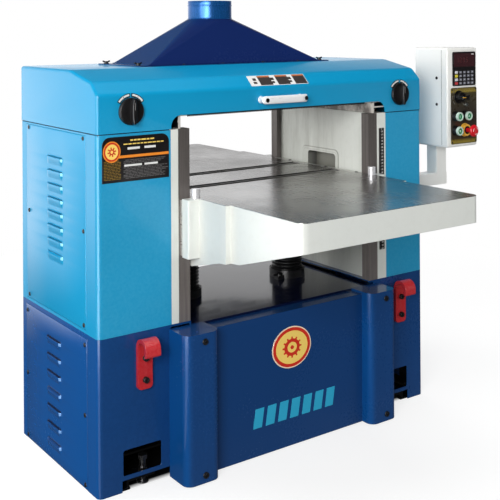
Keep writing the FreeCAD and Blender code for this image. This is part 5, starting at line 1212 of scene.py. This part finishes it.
# ------------------------------------------------------------------ studio
def stage_floor():
    p = P()
    p.v += [(-9, -9, -0.0005), (9, -9, -0.0005), (9, 9, -0.0005), (-9, 9, -0.0005)]
    p.f.append([0, 1, 2, 3])
    p.mi.append(0)
    p.sm.append(False)
    g = G("studio_floor")
    x, y, z = g.xyz()
    lp_ = g.n("ShaderNodeLightPath")
    n = g.noise(g.coord(), 1.2, 2.0)
    dif = g.n("ShaderNodeBsdfDiffuse")
    em = g.n("ShaderNodeEmission")
    em.inputs[0].default_value = (1, 1, 1, 1)
    # painted shadow: the floor inside the machine's own footprint is made near black and given no glow, where no
    # skylight would reach it
    ix = g.math("MULTIPLY", g.rng(x, 0.0, 1.0, -0.596, -0.560), g.rng(x, 1.0, 0.0, 0.516, 0.552))
    iy = g.math("MULTIPLY", g.rng(y, 0.0, 1.0, -0.246, -0.225), g.rng(y, 1.0, 0.0, 0.225, 0.246))
    inside = g.math("MULTIPLY", ix, iy)
    g.link(g.mix(inside, g.mix(n, (0.30, 0.30, 0.30, 1), (0.33, 0.33, 0.33, 1)), (0.008, 0.008, 0.009, 1)), dif.inputs[0])
    g.link(g.rng(inside, 0.74, 0.0, 0.0, 1.0), em.inputs[1])
    add = g.n("ShaderNodeAddShader")
    g.link(dif.outputs[0], add.inputs[0])
    g.link(em.outputs[0], add.inputs[1])
    far = g.n("ShaderNodeEmission")
    far.inputs[1].default_value = 1.0
    ln = g.n("ShaderNodeVectorMath", operation="LENGTH")
    g.link(g.coord(), ln.inputs[0])
    m1 = g.n("ShaderNodeMixShader")
    g.link(g.rng(ln.outputs["Value"], 0.0, 1.0, 1.0, 2.4), m1.inputs[0])
    g.link(add.outputs[0], m1.inputs[1])
    g.link(far.outputs[0], m1.inputs[2])
    glo = g.n("ShaderNodeEmission")
    back = g.rng(y, 0.05, 1.7, 1.05, 3.2)
    vx, vy = g.math("ADD", x, 0.6), g.math("ADD", y, 0.25)
    dist = g.math("SQRT", g.math("ADD", g.math("MULTIPLY", vx, vx), g.math("MULTIPLY", vy, vy)))
    cosd = g.math("DIVIDE", g.math("ADD", g.math("MULTIPLY", vx, -0.89), g.math("MULTIPLY", vy, -0.45)), g.math("MAXIMUM", dist, 0.01))
    side = g.math("MULTIPLY", g.rng(cosd, 0.0, 11.0, 0.88, 0.96), g.rng(dist, 0.09, 1.0, 0.9, 1.5))
    g.link(g.math("MAXIMUM", back, side), glo.inputs[1])
    amb = g.n("ShaderNodeEmission")
    g.link(g.rng(inside, 0.34, 0.0, 0.0, 1.0), amb.inputs[1])
    m2 = g.n("ShaderNodeMixShader")
    g.link(lp_.outputs["Is Glossy Ray"], m2.inputs[0])
    g.link(amb.outputs[0], m2.inputs[1])
    g.link(glo.outputs[0], m2.inputs[2])
    m3_ = g.n("ShaderNodeMixShader")
    g.link(lp_.outputs["Is Camera Ray"], m3_.inputs[0])
    g.link(m2.outputs[0], m3_.inputs[1])
    g.link(m1.outputs[0], m3_.inputs[2])
    m = g.done(m3_.outputs[0])
    ob = p.make("studio_floor", [m], None)


stage_floor()
w = bpy.data.worlds.new("studio")
scene.world = w
w.use_nodes = True
t = w.node_tree
t.nodes.clear()
wo = t.nodes.new("ShaderNodeOutputWorld")
bg1, bg2 = t.nodes.new("ShaderNodeBackground"), t.nodes.new("ShaderNodeBackground")
mx = t.nodes.new("ShaderNodeMixShader")
lpn = t.nodes.new("ShaderNodeLightPath")
tc_ = t.nodes.new("ShaderNodeTexCoord")
dot = t.nodes.new("ShaderNodeVectorMath")
dot.operation = "DOT_PRODUCT"
dot.inputs[1].default_value = Vector((-0.38, 0.92, 0.05)).normalized()
rp_ = t.nodes.new("ShaderNodeValToRGB")
els = rp_.color_ramp.elements
els[0].position, els[0].color = 0.0, (0.03, 0.032, 0.036, 1)
els[1].position, els[1].color = 1.0, (1.0, 1.0, 1.0, 1)
for ps, cv in ((0.38, 0.05), (0.55, 0.30), (0.72, 0.88)):
    e = els.new(ps)
    e.color = (cv, cv, cv * 1.01, 1)
mr = t.nodes.new("ShaderNodeMapRange")
mr.inputs["From Min"].default_value = -1.0
mr.inputs["From Max"].default_value = 1.0
sepz = t.nodes.new("ShaderNodeSeparateXYZ")
t.links.new(tc_.outputs["Generated"], sepz.inputs[0])
fall = t.nodes.new("ShaderNodeMapRange")
fall.interpolation_type = "SMOOTHSTEP"
fall.inputs["From Min"].default_value, fall.inputs["From Max"].default_value = 0.17, 0.42
fall.inputs["To Min"].default_value, fall.inputs["To Max"].default_value = 1.15, 0.10
t.links.new(sepz.outputs[2], fall.inputs["Value"])
dot2 = t.nodes.new("ShaderNodeVectorMath")
dot2.operation = "DOT_PRODUCT"
dot2.inputs[1].default_value = Vector((-0.89, -0.45, 0.0)).normalized()
t.links.new(tc_.outputs["Generated"], dot2.inputs[0])
lobe = t.nodes.new("ShaderNodeMapRange")
lobe.interpolation_type = "SMOOTHSTEP"
lobe.inputs["From Min"].default_value, lobe.inputs["From Max"].default_value = 0.90, 0.96
lobe.inputs["To Min"].default_value, lobe.inputs["To Max"].default_value = 0.0, 8.0
t.links.new(dot2.outputs["Value"], lobe.inputs["Value"])
t.links.new(tc_.outputs["Generated"], dot.inputs[0])
t.links.new(dot.outputs["Value"], mr.inputs["Value"])
t.links.new(mr.outputs[0], rp_.inputs[0])
# strength = fall-off with height + side lobe
low_ = t.nodes.new("ShaderNodeMapRange")
low_.interpolation_type = "SMOOTHSTEP"
low_.inputs["From Min"].default_value, low_.inputs["From Max"].default_value = -0.01, 0.09
low_.inputs["To Min"].default_value, low_.inputs["To Max"].default_value = 1.55, 1.0
t.links.new(sepz.outputs[2], low_.inputs["Value"])
hz_ = t.nodes.new("ShaderNodeMath")
hz_.operation = "MULTIPLY"
t.links.new(fall.outputs[0], hz_.inputs[0])
t.links.new(low_.outputs[0], hz_.inputs[1])
ad_ = t.nodes.new("ShaderNodeMixRGB")
ad_.blend_type = "MULTIPLY"
ad_.inputs[0].default_value = 1.0
t.links.new(rp_.outputs[0], ad_.inputs[1])
t.links.new(hz_.outputs[0], ad_.inputs[2])
ad2_ = t.nodes.new("ShaderNodeMixRGB")
ad2_.blend_type = "ADD"
ad2_.inputs[0].default_value = 1.0
t.links.new(ad_.outputs[0], ad2_.inputs[1])
t.links.new(lobe.outputs[0], ad2_.inputs[2])
t.links.new(ad2_.outputs[0], bg2.inputs[0])
bg2.inputs[1].default_value = 1.0
bg1.inputs[0].default_value = (1, 1, 1, 1)
bg1.inputs[1].default_value = 1.0
bg3 = t.nodes.new("ShaderNodeBackground")
bg3.inputs[0].default_value = (1, 1, 1, 1)
bg3.inputs[1].default_value = 0.26
mx2 = t.nodes.new("ShaderNodeMixShader")
t.links.new(lpn.outputs["Is Glossy Ray"], mx2.inputs[0])
t.links.new(bg3.outputs[0], mx2.inputs[1])
t.links.new(bg2.outputs[0], mx2.inputs[2])
t.links.new(lpn.outputs["Is Camera Ray"], mx.inputs[0])
t.links.new(mx2.outputs[0], mx.inputs[1])
t.links.new(bg1.outputs[0], mx.inputs[2])
t.links.new(mx.outputs[0], wo.inputs[0])


def area(name, loc, target, sx, sy, power, color=(1, 1, 1)):
    l = bpy.data.lights.new(name, "AREA")
    l.shape = "RECTANGLE"
    l.size, l.size_y = sx, sy
    l.energy = power
    l.color = color
    o = bpy.data.objects.new(name, l)
    o.location = loc
    o.rotation_mode = "QUATERNION"
    o.rotation_quaternion = (Vector(target) - Vector(loc)).to_track_quat("-Z", "Y")
    scene.collection.objects.link(o)
    return o


area("key_front_left", (-2.9, -2.6, 1.9), (-0.1, 0.0, 0.7), 1.5, 1.5, 112, (1.0, 0.995, 0.98))
o = area("side_back_left", (-3.6, 2.4, 1.5), (-0.5, 0.0, 0.55), 2.2, 1.8, 126, (1.0, 1.0, 1.0))
o.visible_glossy = False
o = area("top_soft", (-0.1, -0.3, 3.9), (0.0, 0.0, 0.8), 2.4, 2.0, 56)
o.visible_glossy = False
o = area("fill_right", (3.2, -2.6, 1.0), (0.4, 0.0, 0.5), 1.6, 1.4, 27, (0.97, 0.99, 1.0))
o.visible_glossy = False
o = area("rim_back", (1.5, 3.8, 2.4), (0.0, 0.0, 0.8), 2.4, 1.6, 34)
o.visible_glossy = False

cam_d = bpy.data.cameras.new("camera")
cam = bpy.data.objects.new("camera", cam_d)
scene.collection.objects.link(cam)
yaw, rl = math.radians(35.687), math.radians(-0.333)
fwd = Vector((math.sin(yaw), math.cos(yaw), 0))
rgt = Vector((math.cos(yaw), -math.sin(yaw), 0))
upv = Vector((0, 0, 1))
r2 = rgt * math.cos(rl) + upv * math.sin(rl)
u2 = -rgt * math.sin(rl) + upv * math.cos(rl)
m3 = Matrix((r2, u2, -fwd)).transposed()
cam.matrix_world = Matrix.Translation((-1.67961, -2.41752, 1.20769)) @ m3.to_4x4()
cam_d.sensor_width = 36.0
cam_d.lens = 934.573 / 500.0 * 36.0
cam_d.shift_x = 0.0
cam_d.shift_y = (26.558 - 250.0) / 500.0
# the rising-front shift belongs to this standpoint only: further away the camera has none
fc = cam_d.driver_add("shift_y")
while fc.modifiers:
    fc.modifiers.remove(fc.modifiers[0])
while fc.keyframe_points:
    fc.keyframe_points.remove(fc.keyframe_points[0])
fc.driver.type = "AVERAGE"
dv = fc.driver.variables.new()
dv.type = "LOC_DIFF"
dv.targets[0].id = cam
dv.targets[1].id = bpy.data.objects["studio_floor"]
for zz_, sh_ in ((3.6, cam_d.shift_y), (4.0, 0.0)):
    kp = fc.keyframe_points.insert(zz_, sh_)
    kp.interpolation = "LINEAR"
fc.extrapolation = "CONSTANT"
cam_d.clip_start, cam_d.clip_end = 0.05, 60.0
scene.camera = cam
scene.view_settings.view_transform = "Standard"
scene.view_settings.look = "None"
scene.view_settings.exposure = 0.0
